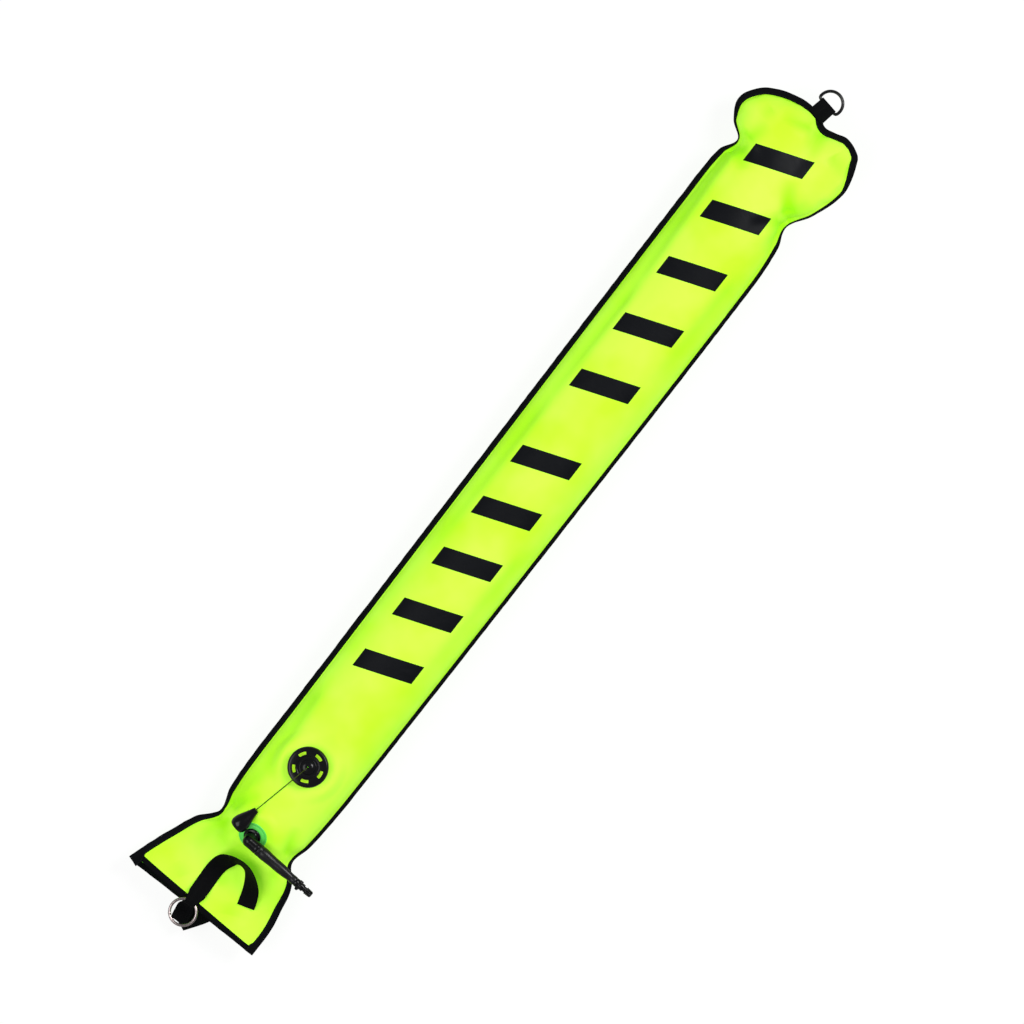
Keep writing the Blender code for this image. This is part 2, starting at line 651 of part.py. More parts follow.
def make_dump_valve():
    """Welded flange, seal, sprung poppet and slotted cap, all on one upright axis."""
    place = VALVE_SEAT.place()
    inside = -SKIN - GAP
    flange = [(VALVE_RADIUS - 1 * MM, inside - 1.5 * MM), (VALVE_RADIUS - 1 * MM, inside),
              (VALVE_NECK, inside), (VALVE_NECK, 8 * MM), (VALVE_NECK - 1.6 * MM, 8 * MM),
              (VALVE_NECK - 1.6 * MM, 2.5 * MM), (VALVE_BORE + 2.6 * MM, 2.5 * MM),
              (VALVE_BORE + 2.2 * MM, 3.6 * MM), (VALVE_BORE + 1.2 * MM, 3.6 * MM),
              (VALVE_BORE, 2.5 * MM), (VALVE_BORE, 1 * MM), (VALVE_NECK - 1.6 * MM, 1 * MM),
              (VALVE_NECK - 1.6 * MM, inside - 1.5 * MM)]
    turned("dump_valve_flange", flange, place, 28, (FABRIC_YELLOW, 0.4))
    gasket = [(VALVE_NECK + GAP, GAP), (VALVE_RADIUS - 0.6 * MM, GAP),
              (VALVE_RADIUS - 0.6 * MM, 1.5 * MM), (VALVE_NECK + GAP, 1.5 * MM)]
    turned("dump_valve_gasket", gasket, place, 28, (BLACK, 0.6))

    plate = 14.6 * MM
    under = 13 * MM
    foot = 1.5 * MM + GAP
    hole = CORD / 2 + GAP
    stem = 2.2 * MM
    hollow = VALVE_HEIGHT - 2 * MM
    cap = [(VALVE_NECK + GAP, foot), (VALVE_RADIUS - 0.4 * MM, foot), (VALVE_RADIUS, foot + 1 * MM),
           (VALVE_RADIUS, VALVE_RIM - 1 * MM), (VALVE_RADIUS - 1.2 * MM, VALVE_RIM + 1 * MM),
           (VALVE_RADIUS - 3.5 * MM, plate), (17 * MM, plate), (15.5 * MM, plate - 0.7 * MM),
           (12 * MM, plate - 0.7 * MM), (10.5 * MM, plate + 1 * MM), (8.5 * MM, VALVE_HEIGHT - 1.6 * MM),
           (5 * MM, VALVE_HEIGHT - 0.2 * MM), (hole + 0.8 * MM, VALVE_HEIGHT), (hole, VALVE_HEIGHT - 0.6 * MM),
           (hole, hollow), (stem + GAP, hollow), (stem + GAP, under - 1.6 * MM),
           (stem + 2 * MM, under - 1.6 * MM), (stem + 2 * MM, under), (VALVE_NECK - 3 * MM, under),
           (VALVE_NECK + GAP, 11 * MM)]
    cap = turned("dump_valve_cap", cap, place, 32, (RUBBER_BLACK, 0.25))
    for i in range(SLOT_COUNT):
        turn = SLOT_TURN + i * math.tau / SLOT_COUNT
        boolean(cap, slot_cutter(i, place @ Matrix.Rotation(turn, 4, "Z")))

    seal = [(stem + GAP, 3.9 * MM), (VALVE_BORE + 3.6 * MM, 3.9 * MM), (VALVE_BORE + 3.6 * MM, 5 * MM),
            (stem + GAP, 5 * MM)]
    turned("dump_valve_seal", seal, place, 20, ((0.3, 0.3, 0.28), 0.5))
    top = under + 1 * MM
    poppet = [(hole, 3.2 * MM), (stem, 3.2 * MM), (stem, 5.3 * MM), (VALVE_BORE + 3 * MM, 5.3 * MM),
              (VALVE_BORE + 3 * MM, 6.2 * MM), (stem + 2 * MM, 7 * MM), (stem, 7 * MM), (stem, top), (hole, top)]
    turned("dump_valve_poppet", poppet, place, 20, PLASTIC_LOOK)

    low, high, wire = 7.3 * MM, under - GAP, 0.35 * MM
    turns, per_turn = 3, 10
    points = []
    for i in range(turns * per_turn + 1):
        t = i / (turns * per_turn)
        angle = math.tau * turns * t
        height = low + wire + (high - low - 2 * wire) * t
        points.append((6.2 * MM * math.cos(angle), 6.2 * MM * math.sin(angle), height))
    tube("dump_valve_spring", points, wire, place, False, (STEEL, 0.3, 1.0), 1)
    return place


def slot_cutter(index, place):
    """A curved window through the cap's top, as an arc-shaped prism with rounded corners."""
    inner, outer = SLOT_RADIUS - SLOT_DEPTH / 2, SLOT_RADIUS + SLOT_DEPTH / 2
    half = SLOT_SPAN / 2
    steps = 4
    ring = []
    for i in range(steps + 1):
        a = -half + SLOT_SPAN * i / steps
        shrink = 0.8 * MM if i in (0, steps) else 0.0
        ring.append(((outer - shrink) * math.cos(a), (outer - shrink) * math.sin(a)))
    for i in range(steps + 1):
        a = (half - SLOT_SPAN * i / steps) * 0.8
        shrink = 0.8 * MM if i in (0, steps) else 0.0
        ring.append(((inner + shrink) * math.cos(a), (inner + shrink) * math.sin(a)))
    low, high = 12 * MM, VALVE_HEIGHT
    rows = [[Vector((x, y, z)) for x, y in ring] for z in (low, high)]
    cutter = bpy.data.objects.new(f"slot_{index}", mesh_from_rows(f"slot_{index}", rows, True, True))
    CUTTERS.objects.link(cutter)
    cutter.matrix_world = place
    return as_cutter(cutter)


valve_place = make_dump_valve()
boolean(front_panel, cylinder_cutter("valve_hole", VALVE_NECK + GAP, -8 * MM, 8 * MM, valve_place))


def axis_place(origin, direction):
    """Matrix with local Z along a direction."""
    return Matrix.Translation(origin) @ direction.to_track_quat("Z", "Y").to_matrix().to_4x4()


def resting_height(x, y, side, radius, margin):
    """Height of a round section's centre so that it clears the front panel all the way across."""
    best = 0.0
    for i in range(-8, 9):
        w = radius * i / 8
        top = front_top(x + side.x * w, y + side.y * w)
        best = max(best, top + math.sqrt(radius ** 2 - w ** 2) + margin)
    return best


def make_pull_knob():
    """A bell-shaped grip that lies on the fabric with its cord in its tip."""
    body = [(0.02, 0.34), (0.10, 0.36), (0.28, 0.44), (0.45, 0.67), (0.62, 0.90), (0.76, 1.0), (0.88, 0.95),
            (0.96, 0.8)]
    start = Vector((WAIST_X + KNOB_FROM_WAIST, KNOB_SIDE, 0))
    flat = Vector((-math.cos(KNOB_YAW), math.sin(KNOB_YAW), 0))
    side = Vector((-flat.y, flat.x, 0))
    margin = PATCH + 2 * GAP
    needs = []
    for share, size in body:
        spot = start + flat * KNOB_LENGTH * share
        needs.append((share, resting_height(spot.x, spot.y, side, KNOB_RADIUS * size, margin)))
    low, high = needs[1], needs[5]
    rate = (high[1] - low[1]) / (high[0] - low[0])
    raise_by = max(need - (low[1] + rate * (share - low[0])) for share, need in needs)
    tip = Vector((start.x, start.y, low[1] - rate * low[0] + raise_by))
    wide = start + flat * KNOB_LENGTH * high[0]
    wide.z = high[1] + raise_by
    place = axis_place(tip, (wide - tip).normalized())
    hole = CORD / 2 + GAP
    knot = 4 * MM
    profile = [(hole, 0), (KNOB_TIP * 0.8, 0)]
    profile += [(size * KNOB_RADIUS, share * KNOB_LENGTH) for share, size in body]
    profile += [(KNOB_RADIUS * 0.55, KNOB_LENGTH), (knot, KNOB_LENGTH), (knot, KNOB_LENGTH * 0.6),
                (hole, KNOB_LENGTH * 0.5)]
    turned("pull_knob", profile, place, 24, (RUBBER_BLACK, 0.15))
    return place


knob_place = make_pull_knob()


def blend_knots(values, i, t):
    """Smooth curve between the values i and i + 1 of a list."""
    last = len(values) - 1
    p0, p1 = values[max(i - 1, 0)], values[i]
    p2, p3 = values[i + 1], values[min(i + 2, last)]
    return 0.5 * ((2 * p1) + (p2 - p0) * t + (2 * p0 - 5 * p1 + 4 * p2 - p3) * t * t
                  + (3 * p1 - p0 - 3 * p2 + p3) * t ** 3)


def rounded_route(points, spacing):
    """Points at even spacing on a smooth curve through the route's own points."""
    dense = []
    for i in range(len(points) - 1):
        dense += [blend_knots(points, i, k / 24) for k in range(24)]
    dense.append(points[-1])
    total = sum((b - a).length for a, b in zip(dense, dense[1:]))
    count = max(2, round(total / spacing))
    result, walked, target = [dense[0]], 0.0, total / count
    for a, b in zip(dense, dense[1:]):
        step = (b - a).length
        while walked + step >= target - 1e-9 and len(result) < count:
            result.append(a.lerp(b, (target - walked) / step))
            target += total / count
        walked += step
    result.append(dense[-1])
    return result, total


def make_pull_cord():
    """From inside the poppet's stem, out of the cap's dome, over its rim and along the fabric to the knob."""
    axis, origin = VALVE_SEAT.normal, valve_place.translation
    tip = knob_place.translation
    along = knob_place.to_3x3() @ Vector((0, 0, 1))
    flat = Vector((tip.x - origin.x, tip.y - origin.y, 0)).normalized()
    lie = CORD / 2 + GAP

    def over_cap(radius, height):
        return origin + flat * radius + axis * (height + lie)

    route = [origin + axis * 9 * MM, origin + axis * 14 * MM, origin + axis * (VALVE_HEIGHT + 1.2 * MM),
             over_cap(2.6 * MM, VALVE_HEIGHT + 2.4 * MM), over_cap(7 * MM, VALVE_HEIGHT + 0.6 * MM),
             over_cap(12 * MM, 16.6 * MM), over_cap(20 * MM, 15.4 * MM), over_cap(27 * MM, 15 * MM),
             over_cap(32.5 * MM, 12.2 * MM)]
    for distance, sag in ((40, 4.8), (46, 2.2), (52, 0.9), (58, 0.5), (64, 0.4), (70, 0.4), (76, 0.4), (82, 0.6)):
        spot = origin + flat * distance * MM
        route.append(Vector((spot.x, spot.y, front_top(spot.x, spot.y) + lie + sag * MM)))
    route += [tip - along * 5 * MM, tip + along * 0.5 * MM, tip + along * KNOB_LENGTH * 0.3,
              tip + along * KNOB_LENGTH * 0.56]
    points, length = rounded_route(route, 2.4 * CORD)
    tube("pull_cord", points, CORD / 2, Matrix.Identity(4), False, ((0.05, 0.07, 0.02), 0.8), 2)
    return length


cord_length = make_pull_cord()


def turned_mesh_object(name, profile, place, steps):
    """A turned shape used to build up another piece."""
    return as_cutter(turned(name, profile, place, steps, None, CUTTERS))


def make_inflator():
    """Welded patch, elbow, tapered hose, barrel, lock ring and sprung mouthpiece."""
    seat = INFLATOR_SEAT.place()
    tube_out = SPIGOT_RADIUS + GAP + 1.5 * MM
    patch = [(SPIGOT_RADIUS + GAP, -7 * MM), (tube_out, -7 * MM), (tube_out, GAP), (PATCH_RADIUS, GAP),
             (PATCH_RADIUS, GAP + 0.6 * PATCH), (PATCH_RADIUS - 1.5 * MM, GAP + PATCH),
             (SPIGOT_RADIUS + GAP, GAP + PATCH)]
    turned("inflator_flange", patch, seat, 28, (PATCH_GREEN, 0.35))
    boolean(front_panel, cylinder_cutter("inflator_hole", tube_out + GAP, -8 * MM, 8 * MM, seat))

    base = PATCH + 2 * GAP
    stem = [(0, -6 * MM), (SPIGOT_RADIUS, -6 * MM), (SPIGOT_RADIUS, base), (BOSS_RADIUS, base),
            (BOSS_RADIUS, ARM_HEIGHT - 4 * MM), (BOSS_RADIUS - 0.6 * MM, ARM_HEIGHT),
            (BOSS_RADIUS - 2.6 * MM, ARM_HEIGHT + 6 * MM), (BOSS_RADIUS - 5 * MM, ARM_HEIGHT + 8.2 * MM),
            (0, ARM_HEIGHT + 9 * MM)]
    elbow = turned("inflator_elbow", stem, seat, 22, PLASTIC_LOOK)
    yaw = Matrix.Rotation(ARM_YAW, 4, "Z")
    arm_at = seat @ Matrix.Translation((0, 0, ARM_HEIGHT)) @ yaw @ Matrix.Rotation(math.pi / 2, 4, "Y")
    barb = [(0, -9 * MM), (5 * MM, -8 * MM), (8 * MM, -5 * MM), (ARM_RADIUS, -1 * MM),
            (ARM_RADIUS, HOSE_START - GAP), (SPIGOT_RADIUS - 0.6 * MM, HOSE_START - GAP)]
    for i in range(3):
        foot = HOSE_START + (1 + 5 * i) * MM
        barb += [(SPIGOT_RADIUS - 0.6 * MM, foot), (SPIGOT_RADIUS, foot + 0.6 * MM),
                 (SPIGOT_RADIUS - 0.6 * MM, foot + 4 * MM)]
    barb += [(SPIGOT_RADIUS - 0.8 * MM, HOSE_START + 16 * MM), (0, HOSE_START + 16 * MM)]
    boolean(elbow, turned_mesh_object("elbow_arm", barb, arm_at, 22), "UNION")
    boolean(elbow, cylinder_cutter("elbow_upright_bore", AIR_BORE, -9 * MM, ARM_HEIGHT, seat, 16))
    boolean(elbow, cylinder_cutter("elbow_arm_bore", AIR_BORE * 0.97, -1 * MM, HOSE_START + 20 * MM, arm_at, 16))

    bore = SPIGOT_RADIUS + GAP
    plug = 4.4 * MM
    hose = [(bore, HOSE_START), (ARM_RADIUS - 0.6 * MM, HOSE_START), (ARM_RADIUS, HOSE_START + 1.5 * MM),
            (ARM_RADIUS, HOSE_START + 14 * MM), (0.5 * (ARM_RADIUS + HOSE_TIP_RADIUS) + 0.3 * MM, HOSE_START + 46 * MM),
            (HOSE_TIP_RADIUS, HOSE_END - 6 * MM), (HOSE_TIP_RADIUS, HOSE_END), (plug + GAP, HOSE_END),
            (plug + GAP, HOSE_END - 14 * MM), (AIR_BORE, HOSE_END - 16 * MM), (AIR_BORE, HOSE_START + 20 * MM),
            (bore, HOSE_START + 17 * MM)]
    turned("inflator_hose", hose, arm_at, 24, (RUBBER_BLACK, 0.55))

    slide = 4.3 * MM
    barrel = [(2.6 * MM, HOSE_END - 12 * MM), (plug, HOSE_END - 12 * MM), (plug, HOSE_END + GAP),
              (BARREL_RADIUS, HOSE_END + GAP), (BARREL_RADIUS, HOSE_END + 5 * MM),
              (BARREL_RADIUS - 0.8 * MM, HOSE_END + 5 * MM), (BARREL_RADIUS - 0.8 * MM, BARREL_END),
              (slide + GAP, BARREL_END), (slide + GAP, HOSE_END + 1 * MM), (2.6 * MM, HOSE_END + 1 * MM)]
    turned("inflator_barrel", barrel, arm_at, 20, PLASTIC_LOOK)

    ring_in = BARREL_RADIUS - 0.8 * MM + GAP
    ring = [(ring_in, HOSE_END + 5 * MM + GAP), (BARREL_RADIUS + 1 * MM, HOSE_END + 5 * MM + GAP),
            (BARREL_RADIUS + 1 * MM, HOSE_END + 11 * MM), (ring_in, HOSE_END + 11 * MM)]
    lock = turned("lock_ring", ring, arm_at, 20, PLASTIC_LOOK)
    lug = bpy.data.meshes.new("lock_lug")
    work = bmesh.new()
    bmesh.ops.create_cube(work, size=1.0)
    bmesh.ops.scale(work, vec=(5 * MM, 4 * MM, 4.5 * MM), verts=work.verts)
    work.to_mesh(lug)
    work.free()
    lug_object = as_cutter(bpy.data.objects.new("lock_lug", lug))
    CUTTERS.objects.link(lug_object)
    # Local +X of the arm's matrix points down to the fabric, local -Y to the tail
    lug_object.matrix_world = arm_at @ Matrix.Translation((0, -BARREL_RADIUS - 1.6 * MM, HOSE_END + 8.2 * MM))
    boolean(lock, lug_object, "UNION")

    lip = BARREL_END + PUSH + 2 * GAP
    seat_face = HOSE_END + 1 * MM + PUSH + GAP
    mouth = [(MOUTH_BORE, seat_face + 3 * MM), (slide, seat_face + 3 * MM), (slide, lip), (5.9 * MM, lip + 0.5 * MM),
             (5.9 * MM, lip + 1.8 * MM)]
    for i in range(3):
        rib = lip + (2.6 + 2.6 * i) * MM
        mouth += [(4.9 * MM, rib), (5.7 * MM - 0.2 * MM * i, rib + 0.9 * MM), (5.7 * MM - 0.2 * MM * i, rib + 1.7 * MM)]
    mouth += [(4.6 * MM, MOUTH_TIP - 1 * MM), (3.8 * MM, MOUTH_TIP), (MOUTH_BORE, MOUTH_TIP)]
    turned("mouthpiece", mouth, arm_at, 18, PLASTIC_LOOK)
    disc = [(1 * MM, seat_face), (slide - 0.6 * MM, seat_face), (slide - 0.6 * MM, seat_face + 2.7 * MM),
            (1 * MM, seat_face + 2.7 * MM)]
    turned("mouthpiece_seal", disc, arm_at, 18, ((0.3, 0.3, 0.28), 0.5))
    return seat, arm_at


inflator_place, arm_place = make_inflator()


def make_tail_strap(ring_centre):
    """Webbing from its sewn end up in an arch, down over the hem and through the ring to the rear hem."""
    pivot = Vector((ring_centre.x + RING_RADIUS, ring_centre.y, ring_centre.z))
    bend = RING_WIRE + 2.6 * MM + WEBBING / 2
    thick = SKIN / 2 + GAP + WEBBING / 2
    full, narrow = STRAP_WIDTH, 16 * MM
    # Along from the hem and across in mm, bank in degrees, height to spare in mm
    arch = ((46, -51.9, 0, 0.2), (57, -48.5, 8, 0.4), (68.4, -44.1, 26, 0.8), (78, -38.5, 45, 1.2),
            (86.5, -31, 60, 1.4), (92.5, -22.5, 70, 1.5), (95.3, -12, 74, 1.5), (94.5, -2, 73, 1.5),
            (90.5, 7, 60, 1.3), (83.5, 14, 38, 1), (74, 18, 18, 0.7), (63, 19.4, 5, 0.5), (52, 19.4, 0, 0.4),
            (40, 18.8, 0, 0.4))
    route = []
    for i, (along, y, bank, spare) in enumerate(arch):
        before, after = arch[max(i - 1, 0)], arch[min(i + 1, len(arch) - 1)]
        flat = Vector((after[1] - before[1], before[0] - after[0], 0)).normalized()
        lean = math.radians(bank)
        reach = full / 2 * math.cos(lean)
        spots = [Vector((TAIL_X + along * MM, y * MM, 0)) + flat * reach * k for k in (-1, -0.5, 0, 0.5, 1)]
        top = max(panel_height(1, spot.x, spot.y, thick) for spot in spots)
        centre = spots[2] + Vector((0, 0, top + full / 2 * math.sin(lean) + spare * MM))
        route.append((centre, flat * math.cos(lean) + Vector((0, 0, math.sin(lean))), full))
    level = Vector((0, 1, 0))
    over = pivot.z + bend
    route.append((Vector((pivot.x + 16 * MM, pivot.y, over - 2.4 * MM)), level, full - 2 * MM))
    route.append((Vector((pivot.x + 7 * MM, pivot.y, over - 0.4 * MM)), level, narrow + 4 * MM))
    for degrees in (90, 120, 150, 180):
        a = math.radians(degrees)
        route.append((pivot + Vector((math.cos(a), 0, math.sin(a))) * bend, level, narrow))
    drop = back_under(TAIL_X + 10 * MM, 0) - HEM_CLEAR - WEBBING / 2 - GAP
    # Out from the ring's bend and across in mm, height over the rear end, heading in degrees, width
    loop = ((2.5, -1, pivot.z - 12 * MM, 4, narrow + 2 * MM), (9, -6, drop + 7 * MM, 18, full - 6 * MM),
            (22, -13, drop + 4.5 * MM, 26, full - 3 * MM), (31, -17.5, drop + 1 * MM, 28, full - 2 * MM),
            (31.5, -19, drop - 2.5 * MM, 26, full - 2 * MM), (24, -23, drop - 4.5 * MM, 18, full - 2 * MM),
            (10, -28, drop - 2.5 * MM, 8, full - 2 * MM), (-2, -31, drop - 0.5 * MM, 0, full - 2 * MM),
            (-12, -32, drop - 0.3 * MM, -4, full - 2 * MM), (-26, -33, drop - 0.3 * MM, -6, full - 2 * MM))
    for out, y, height, heading, width in loop:
        turn = math.radians(heading)
        across = Vector((-math.sin(turn), math.cos(turn), 0))
        route.append((Vector((pivot.x - bend - out * MM, pivot.y + y * MM, height)), across, width))
    mesh = mesh_from_rows("tail_strap", ribbon_sections(route, 2), closed_rows=True, caps=True)
    smooth(mesh)
    return add_object("tail_strap", mesh, BLACK, 0.8)


def ribbon_sections(route, parts):
    """Rectangular sections of webbing square to its smooth centre line."""
    centres = [r[0] for r in route]
    fine = []
    for i in range(len(route) - 1):
        for k in range(parts):
            t = k / parts
            across = route[i][1].lerp(route[i + 1][1], t)
            width = route[i][2] + (route[i + 1][2] - route[i][2]) * ease(t, 0, 1)
            fine.append((blend_knots(centres, i, t), across, width))
    fine.append(route[-1])
    rows = []
    for i, (centre, across, width) in enumerate(fine):
        ahead = fine[min(i + 1, len(fine) - 1)][0] - fine[max(i - 1, 0)][0]
        ahead.normalize()
        across = (across - ahead * across.dot(ahead)).normalized()
        normal = across.cross(ahead).normalized()
        w, h = across * width / 2, normal * WEBBING / 2
        rows.append([centre + w + h, centre - w + h, centre - w - h, centre + w - h])
    return rows


HEM_CLEAR = GAP + TAPE + GAP
ring_rest = front_top(TAIL_X + 12 * MM, RING_SIDE) + HEM_CLEAR + RING_WIRE
RING_CENTRE = Vector((TAIL_X - RING_OUT, RING_SIDE, ring_rest))
make_tail_strap(RING_CENTRE)


def make_tail_ring():
    """A round steel ring. Its origin is on the line where the strap bends over it."""
    count = 32
    points = []
    for i in range(count):
        a = math.tau * i / count
        points.append((RING_RADIUS * (math.cos(a) - 1), RING_RADIUS * math.sin(a), 0))
    place = Matrix.Translation(RING_CENTRE + Vector((RING_RADIUS, 0, 0)))
    return tube("tail_ring", points, RING_WIRE, place, True, (STEEL, 0.25, 1.0), 2)


make_tail_ring()


def make_head_ring():
    """The tab of folded webbing and the D-ring that swings on its bar."""
    edge = head_frame(TAB_SIDE)[0].x + BINDING_WIDTH
    out = Vector((math.cos(TAB_YAW), math.sin(TAB_YAW), 0))
    along = Vector((-math.sin(TAB_YAW), math.cos(TAB_YAW), 0))
    bar = Vector((edge + D_BAR_OUT, TAB_SIDE, AXIS_Z))
    place = Matrix.Translation(bar) @ Matrix.Rotation(TAB_YAW, 4, "Z")

    chord = math.sqrt(D_RADIUS ** 2 - D_BAR_DROP ** 2)
    start = math.atan2(chord, -D_BAR_DROP)
    count = 26
    points = [(D_BAR_DROP + D_RADIUS * math.cos(a), D_RADIUS * math.sin(a), 0)
              for a in (start - 2 * start * i / count for i in range(count + 1))]
    tube("head_d_ring", points, D_WIRE, place, True, (BLACK, 0.3, 0.6), 2)

    grip = D_WIRE + GAP
    leg_in = SEAM_OUTER + GAP
    back = -D_BAR_OUT - TAB_OVERLAP
    inner, outer = [], []
    for degrees in range(-90, 91, 30):
        a = math.radians(degrees)
        inner.append((grip * math.cos(a), grip * math.sin(a)))
        outer.append(((grip + WEBBING) * math.cos(a), (grip + WEBBING) * math.sin(a)))
    bend = -D_BAR_OUT + 2 * MM
    ring = [(back, -leg_in - WEBBING), (bend, -leg_in - WEBBING)] + outer
    ring += [(bend, leg_in + WEBBING), (back, leg_in + WEBBING), (back, leg_in), (bend, leg_in)]
    ring += list(reversed(inner)) + [(bend, -leg_in), (back, -leg_in)]
    span = grip + WEBBING - back
    rows = []
    for side in (1, -1):
        row = []
        for a, b in ring:
            width = TAB_AT_SEAM + (TAB_AT_BAR - TAB_AT_SEAM) * (a - back) / span
            row.append(bar + out * a + along * (side * width / 2) + Vector((0, 0, b)))
        rows.append(row)
    mesh = mesh_from_rows("head_tab", rows, closed_rows=True, caps=True)
    smooth(mesh)
    add_object("head_tab", mesh, BLACK, 0.8)
    return bar


head_bar = make_head_ring()


def report():
    """Places that the record needs, printed in metres."""
    names = {"valve": valve_place, "knob": knob_place, "inflator": inflator_place, "arm": arm_place}
    for name, place in names.items():
        axis = place.to_3x3() @ Vector((0, 0, 1))
        print(name, [round(v, 5) for v in place.translation], [round(v, 5) for v in axis])
    print("ring pivot", [round(v, 5) for v in RING_CENTRE + Vector((RING_RADIUS, 0, 0))])
    print("bar", [round(v, 5) for v in head_bar], "cord", round(cord_length, 4))


report()
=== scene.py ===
"""Surface marker buoy for divers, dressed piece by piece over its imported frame.

Metres, +X towards the head with its D-ring, +Y towards the left edge when the head is up, and +Z out of
the front with the valves. The buoy lies inflated on its back.
"""
import logging
import math
from contextlib import contextmanager
from dataclasses import dataclass, field
from enum import IntEnum
from typing import Iterable, Iterator, Sequence

import bmesh
import bpy
import numpy as np
from mathutils import Matrix, Vector


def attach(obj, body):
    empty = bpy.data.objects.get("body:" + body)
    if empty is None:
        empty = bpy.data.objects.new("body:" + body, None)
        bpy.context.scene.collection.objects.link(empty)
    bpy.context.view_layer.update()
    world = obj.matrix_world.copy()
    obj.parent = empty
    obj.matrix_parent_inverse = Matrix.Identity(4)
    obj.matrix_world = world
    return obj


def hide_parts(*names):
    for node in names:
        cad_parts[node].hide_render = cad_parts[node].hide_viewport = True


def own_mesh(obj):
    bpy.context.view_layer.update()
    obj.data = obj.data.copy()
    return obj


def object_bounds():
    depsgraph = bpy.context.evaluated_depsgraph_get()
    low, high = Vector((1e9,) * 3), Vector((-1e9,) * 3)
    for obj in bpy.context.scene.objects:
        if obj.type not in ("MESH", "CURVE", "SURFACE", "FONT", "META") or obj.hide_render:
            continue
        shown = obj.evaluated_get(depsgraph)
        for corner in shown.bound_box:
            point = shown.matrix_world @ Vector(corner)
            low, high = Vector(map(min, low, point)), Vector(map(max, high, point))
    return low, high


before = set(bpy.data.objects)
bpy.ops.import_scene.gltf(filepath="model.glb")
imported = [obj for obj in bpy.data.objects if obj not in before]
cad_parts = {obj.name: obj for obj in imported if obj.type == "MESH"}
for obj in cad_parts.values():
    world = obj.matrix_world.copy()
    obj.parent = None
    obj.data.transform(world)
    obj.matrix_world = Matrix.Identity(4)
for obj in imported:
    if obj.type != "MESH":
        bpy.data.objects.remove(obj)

CAD_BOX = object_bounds()
LOG = logging.getLogger("marker_buoy")
MM = 0.001
GAP = 0.3 * MM              # clearance between touching pieces
MERGE = 0.002 * MM          # points nearer than this are one
WEB_WIDTH = 27.5 * MM
WAVE = 0.314                # metres between the bands of a wave texture whose scale is 1
PAINTED_GLOW = "#7CFF00"        # painted glow: green light given out under any lamp, standing in for the fluorescent dye and lifting the cloth's shade
SPIN_LEFT = (0, 0, -1)      # the spin tool turns clockwise about its axis, so this goes counterclockwise
Pair = tuple[float, float]
Spot = tuple[float, float, float]
Socket = bpy.types.NodeSocket
Setting = float | tuple | Socket


class Face(IntEnum):
    """The two faces of the buoy, as the sign of their height."""

    FRONT = 1
    BACK = -1


class Side(IntEnum):
    """The two long edges when the head is up, as the sign of their Y."""

    LEFT = 1
    RIGHT = -1


def linear(code: str) -> tuple[float, float, float, float]:
    """Turns an sRGB hex colour to linear light.

    Args:
        code: six hex digits, with or without a leading hash.

    Returns:
        Red, green, blue and a full alpha for a shader socket.
    """
    digits = code.lstrip("#")
    channels = [int(digits[i:i + 2], 16) / 255 for i in (0, 2, 4)]
    light = [c / 12.92 if c <= 0.04045 else ((c + 0.055) / 1.055) ** 2.4 for c in channels]
    return (light[0], light[1], light[2], 1.0)


